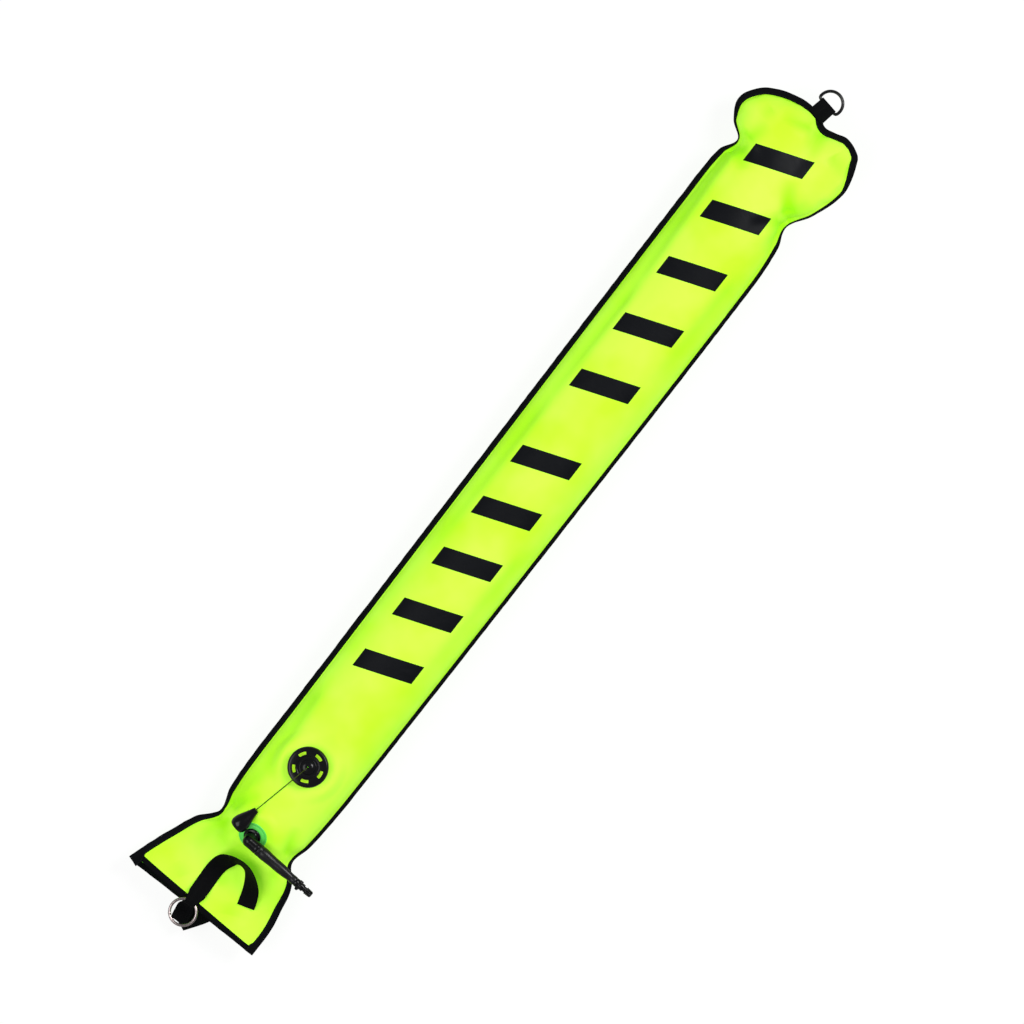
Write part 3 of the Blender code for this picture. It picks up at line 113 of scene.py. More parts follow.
class Nodes:
    """One material's nodes, with short calls for those that most finishes use."""

    def __init__(self, made: bpy.types.Material) -> None:
        """Starts from the material's own shader."""
        made.use_nodes = True
        self.tree = made.node_tree
        self.shader = self.tree.nodes["Principled BSDF"]

    def add(self, kind: str, inputs: dict[str | int, Setting] | None = None,
            **settings: object) -> bpy.types.Node:
        """Adds one node.

        Args:
            kind: the node's type name.
            inputs: values or output sockets for its inputs, by name or number.
            **settings: properties of the node itself.

        Returns:
            The new node.
        """
        node = self.tree.nodes.new(kind)
        for name, value in settings.items():
            setattr(node, name, value)
        self.put(node, inputs or {})
        return node

    def put(self, node: bpy.types.Node, inputs: dict[str | int, Setting]) -> None:
        """Sets or links a node's inputs, by name or number."""
        for key, value in inputs.items():
            if isinstance(value, Socket):
                self.tree.links.new(value, node.inputs[key])
            else:
                node.inputs[key].default_value = value

    def feed(self, inputs: dict[str | int, Setting]) -> None:
        """Sets or links the shader's own inputs."""
        self.put(self.shader, inputs)

    def coords(self, kind: str) -> Socket:
        """Coordinates of the surface: UV for its own map, Object for its place."""
        return self.add("ShaderNodeTexCoord").outputs[kind]

    def split(self, place: Socket) -> bpy.types.NodeOutputs:
        """X, Y and Z of a place."""
        return self.add("ShaderNodeSeparateXYZ", {0: place}).outputs

    def calc(self, operation: str, *values: Setting) -> Socket:
        """Result of one sum on numbers or sockets."""
        return self.add("ShaderNodeMath", dict(enumerate(values)), operation=operation).outputs[0]

    def ramp(self, value: Socket, start: float, end: float, low: float = 0.0, high: float = 1.0) -> Socket:
        """Goes from low to high while the value goes from start to end."""
        return self.add("ShaderNodeMapRange", {"Value": value, "From Min": start, "From Max": end,
                                               "To Min": low, "To Max": high}).outputs["Result"]

    def tint(self, share: Socket, first: str | Socket, second: str | Socket) -> Socket:
        """Colour between two, each a hex code or a socket."""
        ends = [linear(c) if isinstance(c, str) else c for c in (first, second)]
        return self.add("ShaderNodeMix", {0: share, 6: ends[0], 7: ends[1]}, data_type="RGBA").outputs[2]

    def noise(self, place: Socket, scale: float, detail: float = 2.0, rough: float = 0.5,
              twist: float = 0.0) -> Socket:
        """Cloudy values from 0 to 1."""
        return self.add("ShaderNodeTexNoise", {"Vector": place, "Scale": scale, "Detail": detail,
                                               "Roughness": rough, "Distortion": twist}).outputs["Fac"]

    def bands(self, place: Socket, pitch: float, way: str, twist: float = 0.0) -> Socket:
        """Soft bands at a pitch in metres, along X or Y of a map."""
        return self.add("ShaderNodeTexWave", {"Vector": place, "Scale": WAVE / pitch, "Distortion": twist},
                        bands_direction=way).outputs["Fac"]

    def bump(self, height: Socket, strength: float, distance: float, onto: Socket | None = None) -> Socket:
        """Normals of a relief, laid onto another one where that is given."""
        inputs = {"Height": height, "Strength": strength, "Distance": distance}
        if onto is not None:
            inputs["Normal"] = onto
        return self.add("ShaderNodeBump", inputs).outputs["Normal"]


@dataclass(frozen=True)
class Finish:
    """A material with its plain values. Each real finish below adds the pattern that the eye sees in it."""

    name: str
    colour: str
    roughness: float
    metallic: float = 0.0
    specular: float = 0.5

    def material(self) -> bpy.types.Material:
        """Makes the material on first use, and gives the same one after that."""
        known = bpy.data.materials.get(self.name)
        if known is not None:
            return known
        made = bpy.data.materials.new(self.name)
        nodes = Nodes(made)
        nodes.feed({"Base Color": linear(self.colour), "Roughness": self.roughness, "Metallic": self.metallic,
                    "Specular IOR Level": self.specular})
        self.pattern(nodes)
        return made

    def pattern(self, nodes: Nodes) -> None:
        """Adds the finish's own detail to the shader. The plain finish has none."""


@dataclass(frozen=True)
class CoatedNylon(Finish):
    """Fluorescent nylon with a welded polyurethane coat: satin, with a faint weave and soft crinkles."""

    shade: str = "#C0E82C"
    folded: str = "#9CD614"     # painted shade in the creases: greener where light bounces between the sides of a fold
    ink: str = "#05070C"
    # painted glow, standing in for the dye's fluorescence
    painted_glow: float = 0.36
    thread: float = 2.4 * MM    # real threads are 0.4 mm apart, drawn coarser so that they show
    crinkle: float = 34 * MM
    printed: bool = False
    groups: tuple[Pair, ...] = ((450 * MM, 106.5 * MM), (-99.5 * MM, 96.3 * MM))  # middle and pitch
    lean: float = 0.36          # how far a bar slants towards the tail for each metre to the left
    bar_half: Pair = (16 * MM, 43.8 * MM)
    blur: float = 0.4 * MM      # softness of the ink's edge

    def pattern(self, nodes: Nodes) -> None:
        """Weave and crinkles as bump, slow changes of colour, painted shade in the creases, a painted glow,
        and the printed bars on the front.
        """
        uv, place = nodes.coords("UV"), nodes.coords("Object")
        dye = nodes.tint(nodes.ramp(nodes.noise(place, 11.0), 0.3, 0.58), self.shade, self.colour)
        # painted shade in the creases: a greener colour mixed in by how deep each point lies in a fold
        fold = nodes.add("ShaderNodeAttribute", attribute_name="fold").outputs["Fac"]
        colour = nodes.tint(fold, dye, self.folded)
        # painted glow over the whole cloth, which also lifts its shade
        nodes.feed({"Emission Color": linear(PAINTED_GLOW), "Emission Strength": self.painted_glow})
        if self.printed:
            mask = self.bars(nodes, place)
            colour = nodes.tint(mask, colour, self.ink)
            nodes.feed({"Emission Color": nodes.tint(mask, PAINTED_GLOW, "#000000")})
        weave = nodes.calc("MULTIPLY", nodes.bands(uv, self.thread, "X"), nodes.bands(uv, self.thread, "Y"))
        crinkles = nodes.noise(uv, 1 / self.crinkle, 3.0, 0.5, 0.8)
        fine = nodes.bump(weave, 0.5, 0.05 * MM)
        gloss = nodes.ramp(crinkles, 0.0, 1.0, self.roughness - 0.06, self.roughness + 0.08)
        folds = nodes.bump(crinkles, 0.5, 1.6 * MM, fine)
        nodes.feed({"Base Color": colour, "Normal": folds, "Roughness": gloss})

    def bars(self, nodes: Nodes, place: Socket) -> Socket:
        """Where the ink of two groups of five slanted bars lies on the front.

        Args:
            nodes: the material's nodes.
            place: object coordinates, in metres.

        Returns:
            1 on the bars and 0 beside them.
        """
        at = nodes.split(place)
        slant = nodes.calc("ADD", at["X"], nodes.calc("MULTIPLY", at["Y"], self.lean))
        half, reach = self.bar_half
        within = nodes.ramp(nodes.calc("ABSOLUTE", at["Y"]), reach - self.blur, reach + self.blur, 1.0, 0.0)
        masks = []
        for middle, pitch in self.groups:
            steps = nodes.calc("DIVIDE", nodes.calc("SUBTRACT", slant, middle), pitch)
            nearest = nodes.add("ShaderNodeClamp", {0: nodes.calc("ROUND", steps), 1: -2.0, 2: 2.0})
            off = nodes.calc("ABSOLUTE", nodes.calc("SUBTRACT", steps, nearest.outputs[0]))
            masks.append(nodes.ramp(off, (half - self.blur) / pitch, (half + self.blur) / pitch, 1.0, 0.0))
        return nodes.calc("MULTIPLY", nodes.calc("MAXIMUM", *masks), within)


@dataclass(frozen=True)
class RibbedTape(Finish):
    """Woven polyester binding tape: fine ribs across it, a lockstitch row by each edge, and a dull black."""

    rib: float = 1.6 * MM       # real ribs are 0.8 mm apart, drawn coarser so that they show
    stitch: float = 4.2 * MM
    row: float = 2.2 * MM

    def pattern(self, nodes: Nodes) -> None:
        """Ribs and a row of stitches from the piece's own map."""
        uv = nodes.coords("UV")
        at = nodes.split(uv)
        away = nodes.calc("ABSOLUTE", nodes.calc("SUBTRACT", at["Y"], self.row))
        dash = nodes.ramp(nodes.calc("PINGPONG", at["X"], self.stitch), 0.7 * MM, 1.1 * MM)
        thread = nodes.calc("MULTIPLY", nodes.ramp(away, 0.3 * MM, 0.6 * MM, 1.0, 0.0), dash)
        height = nodes.calc("MULTIPLY_ADD", thread, 2.0, nodes.bands(uv, self.rib, "X", 0.4))
        dust = nodes.tint(nodes.noise(nodes.coords("Object"), 60.0, 3.0), self.colour, "#07080B")
        nodes.feed({"Normal": nodes.bump(height, 0.8, 0.18 * MM),
                    "Base Color": nodes.tint(thread, dust, "#17181C")})


@dataclass(frozen=True)
class TwillWebbing(Finish):
    """Polypropylene webbing: a herringbone of slanted yarns, thick selvedges, and a dull black."""

    yarn: float = 2.2 * MM
    width: float = WEB_WIDTH

    def pattern(self, nodes: Nodes) -> None:
        """Two mirrored slopes of yarns across the band, with a smooth line at each edge."""
        uv = nodes.coords("UV")
        at = nodes.split(uv)
        slope = nodes.calc("ADD", nodes.calc("PINGPONG", at["Y"], self.width / 4), at["X"])
        wave = nodes.calc("SINE", nodes.calc("MULTIPLY", slope, math.tau / self.yarn))
        height = nodes.calc("MULTIPLY_ADD", nodes.noise(uv, 900.0), 0.6, wave)
        # painted shade: the colour is darker in the grooves between the yarns and lighter on their tops
        nodes.feed({"Normal": nodes.bump(height, 0.7, 0.16 * MM),
                    "Base Color": nodes.tint(wave, self.colour, "#0A0B0D")})


@dataclass(frozen=True)
class MouldedPlastic(Finish):
    """Injection-moulded black plastic: glossy, with a slight sink and fine handling scratches."""

    scratch: float = 0.05

    def pattern(self, nodes: Nodes) -> None:
        """Roughness broken by scratches, and a shallow waviness from the mould."""
        place = nodes.coords("Object")
        drawn = nodes.add("ShaderNodeMapping", {"Vector": place, "Scale": (1.0, 9.0, 1.0),
                                                "Rotation": (0.0, 0.4, 0.6)}).outputs[0]
        gloss = nodes.ramp(nodes.noise(drawn, 320.0, 4.0, 0.7), 0.45, 0.75, self.roughness,
                           self.roughness + self.scratch)
        nodes.feed({"Roughness": gloss, "Normal": nodes.bump(nodes.noise(place, 90.0, 1.0), 0.25, 0.1 * MM)})


@dataclass(frozen=True)
class MouldedRubber(Finish):
    """Black rubber from a blasted mould: satin, with an even fine grain and paler bloom."""

    grain: float = 0.7 * MM

    def pattern(self, nodes: Nodes) -> None:
        """Grain as bump and bloom as a slow change of colour."""
        place = nodes.coords("Object")
        bloom = nodes.tint(nodes.noise(place, 70.0, 3.0), self.colour, "#0E0F13")
        grain = nodes.noise(place, 1 / self.grain)
        nodes.feed({"Normal": nodes.bump(grain, 0.3, 0.06 * MM), "Base Color": bloom})


@dataclass(frozen=True)
class WeldableFilm(Finish):
    """Cast polyurethane for welded fittings: smooth, a little waxy, and dyed through so that light enters."""

    depth: float = 1.5 * MM
    # painted glow in the film's own colour
    painted_glow: float = 0.1

    def pattern(self, nodes: Nodes) -> None:
        """Light that enters the film, a painted glow in the film's own colour, and faint flow marks."""
        flow = nodes.noise(nodes.coords("Object"), 140.0, twist=1.5)
        # painted glow: the film gives out its own colour under any lamp
        nodes.feed({"Subsurface Weight": 0.25, "Subsurface Scale": self.depth,
                    "Emission Color": linear(self.colour), "Emission Strength": self.painted_glow,
                    "Normal": nodes.bump(flow, 0.2, 0.1 * MM),
                    "Roughness": nodes.ramp(flow, 0.0, 1.0, self.roughness - 0.05, self.roughness + 0.05)})


@dataclass(frozen=True)
class DrawnSteel(Finish):
    """Stainless rod, tumbled bright: clear reflections with fine marks along the wire."""

    def pattern(self, nodes: Nodes) -> None:
        """Roughness in fine streaks with a few dull spots."""
        marks = nodes.noise(nodes.coords("Object"), 420.0, 5.0, 0.65)
        nodes.feed({"Roughness": nodes.ramp(marks, 0.4, 0.7, self.roughness, self.roughness + 0.14),
                    "Normal": nodes.bump(marks, 0.12, 0.05 * MM)})


@dataclass(frozen=True)
class BraidedLine(Finish):
    """Thin braided polyester line: two sets of strands that cross, dull and a little fuzzy."""

    strand: float = 1.5 * MM

    def pattern(self, nodes: Nodes) -> None:
        """Strands slanted both ways round the line, from its own map."""
        at = nodes.split(nodes.coords("UV"))
        waves = []
        for way in (1.0, -1.0):
            lean = nodes.calc("MULTIPLY_ADD", at["Y"], way, at["X"])
            waves.append(nodes.calc("SINE", nodes.calc("MULTIPLY", lean, math.tau / self.strand)))
        braid = nodes.calc("MULTIPLY", *waves)
        # painted shade: the colour is darker in the hollows between the strands
        nodes.feed({"Base Color": nodes.tint(nodes.ramp(braid, -1.0, 1.0), "#1E2808", self.colour),
                    "Normal": nodes.bump(braid, 0.6, 0.15 * MM)})


PRINTED_NYLON = CoatedNylon("fluorescent_coated_nylon_printed", "#CCF04C", 0.5, specular=0.12, printed=True)
PLAIN_NYLON = CoatedNylon("fluorescent_coated_nylon", "#CCF04C", 0.5, specular=0.12)
BINDING_TAPE = RibbedTape("ribbed_binding_tape", "#030306", 0.72, specular=0.06)
WEBBING = TwillWebbing("polypropylene_webbing", "#030305", 0.75, specular=0.07)
GLOSS_BLACK = MouldedPlastic("moulded_black_plastic", "#050508", 0.2, specular=0.25)
HOSE_RUBBER = MouldedRubber("moulded_black_rubber", "#050508", 0.34, specular=0.3)
SEAL_SILICONE = MouldedRubber("grey_silicone", "#8F8F8A", 0.45)
GREEN_FILM = WeldableFilm("green_welded_film", "#5FDC5A", 0.32)
# painted glow keeps the fitting bright where it shows through the cap's slots
YELLOW_FILM = WeldableFilm("yellow_welded_fitting", "#C6F52A", 0.35, painted_glow=0.45)
BRIGHT_STEEL = DrawnSteel("bright_stainless_rod", "#A89C9B", 0.18, metallic=1.0)
SPRING_STEEL = DrawnSteel("drawn_spring_wire", "#C9C6C4", 0.22, metallic=1.0)
BLACK_WIRE = MouldedPlastic("black_coated_wire", "#08080B", 0.24, specular=0.35)
OLIVE_LINE = BraidedLine("braided_olive_line", "#4A5A16", 0.75, specular=0.2)


def deselect() -> None:
    """Leaves object mode with nothing selected."""
    if bpy.context.object is not None and bpy.context.object.mode != "OBJECT":
        bpy.ops.object.mode_set(mode="OBJECT")
    bpy.ops.object.select_all(action="DESELECT")


def activate(piece: bpy.types.Object) -> None:
    """Makes one piece the only selected and active one."""
    deselect()
    piece.select_set(True)
    bpy.context.view_layer.objects.active = piece


def apply_modifiers(piece: bpy.types.Object) -> None:
    """Applies a piece's modifiers in order."""
    activate(piece)
    for step in list(piece.modifiers):
        bpy.ops.object.modifier_apply(modifier=step.name)


@contextmanager
def editing() -> Iterator[None]:
    """Edit mode on the active piece, with all of it selected, while the block runs."""
    bpy.ops.object.mode_set(mode="EDIT")
    bpy.ops.mesh.select_all(action="SELECT")
    yield
    bpy.ops.object.mode_set(mode="OBJECT")


def settle_place(piece: bpy.types.Object, place: Matrix) -> None:
    """Moves a piece's shape to its place and leaves the object itself at the origin."""
    piece.matrix_world = place
    activate(piece)
    bpy.ops.object.transform_apply(location=True, rotation=True, scale=True)


def shade(piece: bpy.types.Object, degrees: float = 35.0) -> None:
    """Smooth shading with sharp edges kept above an angle."""
    activate(piece)
    bpy.ops.object.shade_smooth_by_angle(angle=math.radians(degrees))


def bevel(piece: bpy.types.Object, width: float, segments: int = 3, degrees: float = 30.0) -> None:
    """Rounds every edge that is sharper than an angle."""
    step = piece.modifiers.new("rounded edges", "BEVEL")
    step.width = width
    step.segments = segments
    step.limit_method = "ANGLE"
    step.angle_limit = math.radians(degrees)
    step.use_clamp_overlap = True
    apply_modifiers(piece)


def mend_normals(piece: bpy.types.Object, merge: float = MERGE) -> None:
    """Joins doubled points and turns the faces outwards."""
    activate(piece)
    with editing():
        bpy.ops.mesh.remove_doubles(threshold=merge)
        bpy.ops.mesh.normals_make_consistent(inside=False)


def mend_sheet(piece: bpy.types.Object) -> None:
    """Joins the doubled corner points of a sheet without turning it."""
    work = bmesh.new()
    work.from_mesh(piece.data)
    bmesh.ops.remove_doubles(work, verts=work.verts, dist=MERGE)
    bmesh.ops.dissolve_degenerate(work, dist=MERGE, edges=work.edges)
    work.to_mesh(piece.data)
    work.free()


def thicken(piece: bpy.types.Object, wall: float) -> None:
    """Gives a sheet its thickness, half to each side, and shades it as cloth."""
    step = piece.modifiers.new("cloth", "SOLIDIFY")
    step.thickness = wall
    step.offset = 0.0
    apply_modifiers(piece)
    shade(piece, 50)


def draw_profile(name: str, profile: Sequence[Pair]) -> bpy.types.Object:
    """Draws a line in the XZ plane by extruding one point again and again.

    Args:
        name: the new piece's name.
        profile: radius and height of each point.

    Returns:
        The piece, still a bare line.
    """
    deselect()
    bpy.ops.mesh.primitive_plane_add(size=1 * MM)
    piece = bpy.context.object
    piece.name = name
    with editing():
        bpy.ops.mesh.merge(type="CENTER")
        bpy.ops.transform.translate(value=(profile[0][0], 0.0, profile[0][1]))
        for (r0, z0), (r1, z1) in zip(profile, profile[1:]):
            bpy.ops.mesh.extrude_vertices_move(TRANSFORM_OT_translate={"value": (r1 - r0, 0.0, z1 - z0)})
    return piece


def turned(name: str, profile: Sequence[Pair], steps: int = 72, closed: bool = False,
           angle: float = math.tau) -> bpy.types.Object:
    """Spins a profile about the local Z axis.

    Args:
        name: the new piece's name.
        profile: radius and height of each point, from one end of the shape to the other.
        steps: faces round the shape.
        closed: joins the last point to the first one, for a ring.
        angle: how far it turns, counterclockwise from above.

    Returns:
        The closed shape, with its faces outwards.
    """
    points = list(profile) + ([profile[0]] if closed else [])
    piece = draw_profile(name, points)
    activate(piece)
    with editing():
        bpy.ops.mesh.spin(steps=steps, angle=angle, center=(0, 0, 0), axis=SPIN_LEFT)
        bpy.ops.mesh.select_all(action="SELECT")
        bpy.ops.mesh.remove_doubles(threshold=MERGE)
        bpy.ops.mesh.fill_holes(sides=len(points))
    mend_normals(piece)
    return piece


def cut(piece: bpy.types.Object, cutter: bpy.types.Object, operation: str = "DIFFERENCE") -> None:
    """Cuts one piece with another, or joins them, and removes the cutter."""
    step = piece.modifiers.new("cut", "BOOLEAN")
    step.object = cutter
    step.operation = operation
    step.solver = "EXACT"
    apply_modifiers(piece)
    bpy.data.objects.remove(cutter, do_unlink=True)


def hand_over(piece: bpy.types.Object, body: str, finish: Finish, slot: str, *nodes: str) -> bpy.types.Object:
    """Dresses a finished piece, ties it to its body and hides the frame's nodes that it stands for.

    Args:
        piece: the finished piece.
        body: the body that it moves with.
        finish: its material.
        slot: the record's material slot; not used.
        *nodes: nodes of the frame that it replaces.

    Returns:
        The piece.
    """
    piece.data.materials.clear()
    piece.data.materials.append(finish.material())
    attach(piece, body)
    if nodes:
        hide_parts(*nodes)
    LOG.info("%s rides on %s", piece.name, body)
    return piece


def repaint(node: str, finish: Finish) -> None:
    """Gives a kept node of the frame a better material."""
    for slot in bpy.data.objects[node].material_slots:
        slot.material = finish.material()


def woven_grid(name: str, points: np.ndarray, uv: np.ndarray, closed: bool = False, capped: bool = False,
               flip: bool = False) -> bpy.types.Object:
    """Makes a piece from rows of points, with a map in metres.

    Args:
        name: the new piece's name.
        points: rows by columns by 3, in metres.
        uv: rows by columns by 2 in metres, with one more column where the rows are closed.
        closed: joins each row's end to its start.
        capped: fills the first and the last row.
        flip: turns the faces round.

    Returns:
        The piece.
    """
    rows, columns = points.shape[:2]
    mesh = bpy.data.meshes.new(name)
    faces, corners = [], []
    for i in range(rows - 1):
        for j in range(columns if closed else columns - 1):
            k = (j + 1) % columns
            ring = [(i, j, j), (i, k, j + 1), (i + 1, k, j + 1), (i + 1, j, j)]
            ring = ring[::-1] if flip else ring
            faces.append([a * columns + b for a, b, _ in ring])
            corners += [uv[a, c] for a, _, c in ring]
    if capped:
        for i, order in ((0, range(columns)), (rows - 1, range(columns - 1, -1, -1))):
            faces.append([i * columns + j for j in order])
            corners += [uv[i, j] for j in order]
    mesh.from_pydata(points.reshape(-1, 3).tolist(), [], faces)
    layer = mesh.uv_layers.new(name="pattern")
    layer.data.foreach_set("uv", np.array(corners, dtype=np.float32).ravel())
    mesh.update()
    piece = bpy.data.objects.new(name, mesh)
    bpy.context.scene.collection.objects.link(piece)
    return piece


def walked(points: np.ndarray, axis: int) -> np.ndarray:
    """Distance walked along one direction of a grid of points, from its first row or column."""
    steps = np.linalg.norm(np.diff(points, axis=axis), axis=2)
    start = np.zeros_like(np.take(steps, [0], axis=axis))
    return np.concatenate([start, np.cumsum(steps, axis=axis)], axis=axis)


def sheet_map(points: np.ndarray) -> np.ndarray:
    """Map of an open grid: metres walked along it and across it."""
    return np.stack([walked(points, 0), walked(points, 1)], axis=-1)


def tube_map(points: np.ndarray) -> np.ndarray:
    """Map of closed rows: metres walked along the first column, and round each row back to its start."""
    ring = np.concatenate([points, points[:, :1]], axis=1)
    return np.stack([np.repeat(walked(points, 0)[:, :1], ring.shape[1], axis=1), walked(ring, 1)], axis=-1)


def blend_knots(values: Sequence[Vector], i: int, t: float) -> Vector:
    """Point on a smooth curve between the knots i and i + 1."""
    last = len(values) - 1
    p0, p1 = values[max(i - 1, 0)], values[i]
    p2, p3 = values[i + 1], values[min(i + 2, last)]
    return 0.5 * ((2 * p1) + (p2 - p0) * t + (2 * p0 - 5 * p1 + 4 * p2 - p3) * t * t
                  + (3 * p1 - p0 - 3 * p2 + p3) * t ** 3)


def ease(value: float, low: float, high: float) -> float:
    """0 at low, 1 at high, level at both."""
    t = min(max((value - low) / (high - low), 0.0), 1.0)
    return t * t * (3 - 2 * t)


def through(knots: Sequence[Pair], value: float) -> float:
    """Smooth curve through (place, value) pairs with rising places."""
    last = len(knots) - 1
    i = 0
    while i < last - 1 and value > knots[i + 1][0]:
        i += 1

    def slope(n: int) -> float:
        """Slope of the curve at one knot."""
        low, high = max(n - 1, 0), min(n + 1, last)
        return (knots[high][1] - knots[low][1]) / (knots[high][0] - knots[low][0])

    span = knots[i + 1][0] - knots[i][0]
    t = (value - knots[i][0]) / span
    a, b = knots[i][1], knots[i + 1][1]
    h = t * t * (3 - 2 * t)
    return a + (b - a) * h + span * (t * (1 - t) ** 2 * slope(i) - t * t * (1 - t) * slope(i + 1))


def straight(knots: Sequence[Pair], value: float) -> float:
    """Straight lines through (place, value) pairs with rising places."""
    return float(np.interp(value, [k[0] for k in knots], [k[1] for k in knots]))


def ripples(seed: int, places: np.ndarray, pitch: float) -> np.ndarray:
    """Smooth random values from -1 to 1 along a line, the same ones each time.

    Args:
        seed: picks the row of values.
        places: where they are wanted, in metres.
        pitch: distance from one random knot to the next.

    Returns:
        One value for each place.
    """
    knots = np.random.default_rng(seed).uniform(-1, 1, 4096)
    at = (places + 2.0) / pitch
    low = np.floor(at).astype(int)
    t = at - low
    t = t * t * (3 - 2 * t)
    return knots[low % 4096] * (1 - t) + knots[(low + 1) % 4096] * t


def upright(origin: Vector, normal: Vector) -> Matrix:
    """Matrix with local Z along a normal and local X towards the head."""
    head = Vector((1, 0, 0))
    head = (head - normal * head.dot(normal)).normalized()
    side = normal.cross(head)
    return Matrix.Translation(origin) @ Matrix((head, side, normal)).transposed().to_4x4()


@dataclass(frozen=True)
class Crease:
    """A soft fold in the cloth, along a line seen from above. Its depth is inwards."""

    start: Pair
    end: Pair
    depth: float
    width: float


@dataclass
class Seam:
    """Point on the weld, and the directions in which its allowance lies there."""

    point: Vector
    out: Vector
    up: Vector
    tilt: float


@dataclass
class Studio:
    """Pale floor, soft lights and the camera straight over the buoy."""

    picture: float = 1.536              # metres across the picture at the seams' height
    aim: Spot = (0.0035, -0.0052, 0.05925)
    right: Spot = (0.61196, -0.79089, 0.0)
    up: Spot = (0.79089, 0.61196, 0.0)
    lens: float = 400.0
    sensor: float = 36.0
    floor_size: float = 30.0
    floor_light: float = 1.19           # how bright the camera sees the bare floor
    floor_share: float = 0.75           # how much of that covers the shadow
    sky_light: float = 0.3

    def camera(self) -> None:
        """Places the camera so that the picture's frame is the photograph's."""
        data = bpy.data.cameras.new("picture_camera")
        data.lens = self.lens
        data.sensor_width = self.sensor
        data.clip_end = 100.0
        eye = bpy.data.objects.new("picture_camera", data)
        bpy.context.scene.collection.objects.link(eye)
        away = self.picture * self.lens / self.sensor
        turn = Matrix((self.right, self.up, (0, 0, 1))).transposed().to_4x4()
        eye.matrix_world = Matrix.Translation(Vector(self.aim) + Vector((0, 0, away))) @ turn
        bpy.context.scene.camera = eye

    def floor(self) -> None:
        """A plain white floor that keeps the buoy's shadow."""
        deselect()
        bpy.ops.mesh.primitive_plane_add(size=self.floor_size, location=(0, 0, CAD_BOX[0][2] - 0.5 * MM))
        ground = bpy.context.object
        ground.name = "floor"
        made = bpy.data.materials.new("white_sweep")
        nodes = Nodes(made)
        nodes.feed({"Base Color": linear("#B4B4B4"), "Roughness": 0.9, "Specular IOR Level": 0.1})
        lit = nodes.add("ShaderNodeEmission", {"Color": linear("#FFFFFF"), "Strength": self.floor_light})
        path = nodes.add("ShaderNodeLightPath").outputs
        seen = nodes.calc("MAXIMUM", path["Is Camera Ray"], path["Is Transmission Ray"])
        share = nodes.calc("MULTIPLY", seen, self.floor_share)
        mix = nodes.add("ShaderNodeMixShader", {0: share, 1: nodes.shader.outputs[0], 2: lit.outputs[0]})
        nodes.put(nodes.tree.nodes["Material Output"], {"Surface": mix.outputs[0]})
        ground.data.materials.append(made)

    def lamp(self, name: str, place: Spot, size: Pair, power: float) -> None:
        """Hangs one softbox that looks at the buoy's middle."""
        data = bpy.data.lights.new(name, "AREA")
        data.shape = "RECTANGLE"
        data.size, data.size_y = size
        data.energy = power
        lamp = bpy.data.objects.new(name, data)
        bpy.context.scene.collection.objects.link(lamp)
        away = Vector(place)
        lamp.matrix_world = Matrix.Translation(away) @ away.to_track_quat("Z", "Y").to_matrix().to_4x4()
        lamp.visible_camera = False

    def lights(self) -> None:
        """A key softbox from the head's right side and a wider, weaker one across from it."""
        world = bpy.data.worlds.new("studio")
        world.use_nodes = True
        sky = world.node_tree.nodes["Background"].inputs
        sky["Color"].default_value = linear("#FFFFFF")
        sky["Strength"].default_value = self.sky_light
        bpy.context.scene.world = world
        self.lamp("key_softbox", (3.4, -2.2, 4.6), (2.4, 2.4), 250.0)
        self.lamp("fill_softbox", (-2.6, 2.2, 4.8), (4.4, 3.4), 175.0)

    def build(self) -> None:
        """Camera first, then the floor and the lights."""
        self.camera()
        self.floor()
        self.lights()
        bpy.context.scene.view_settings.view_transform = "Standard"


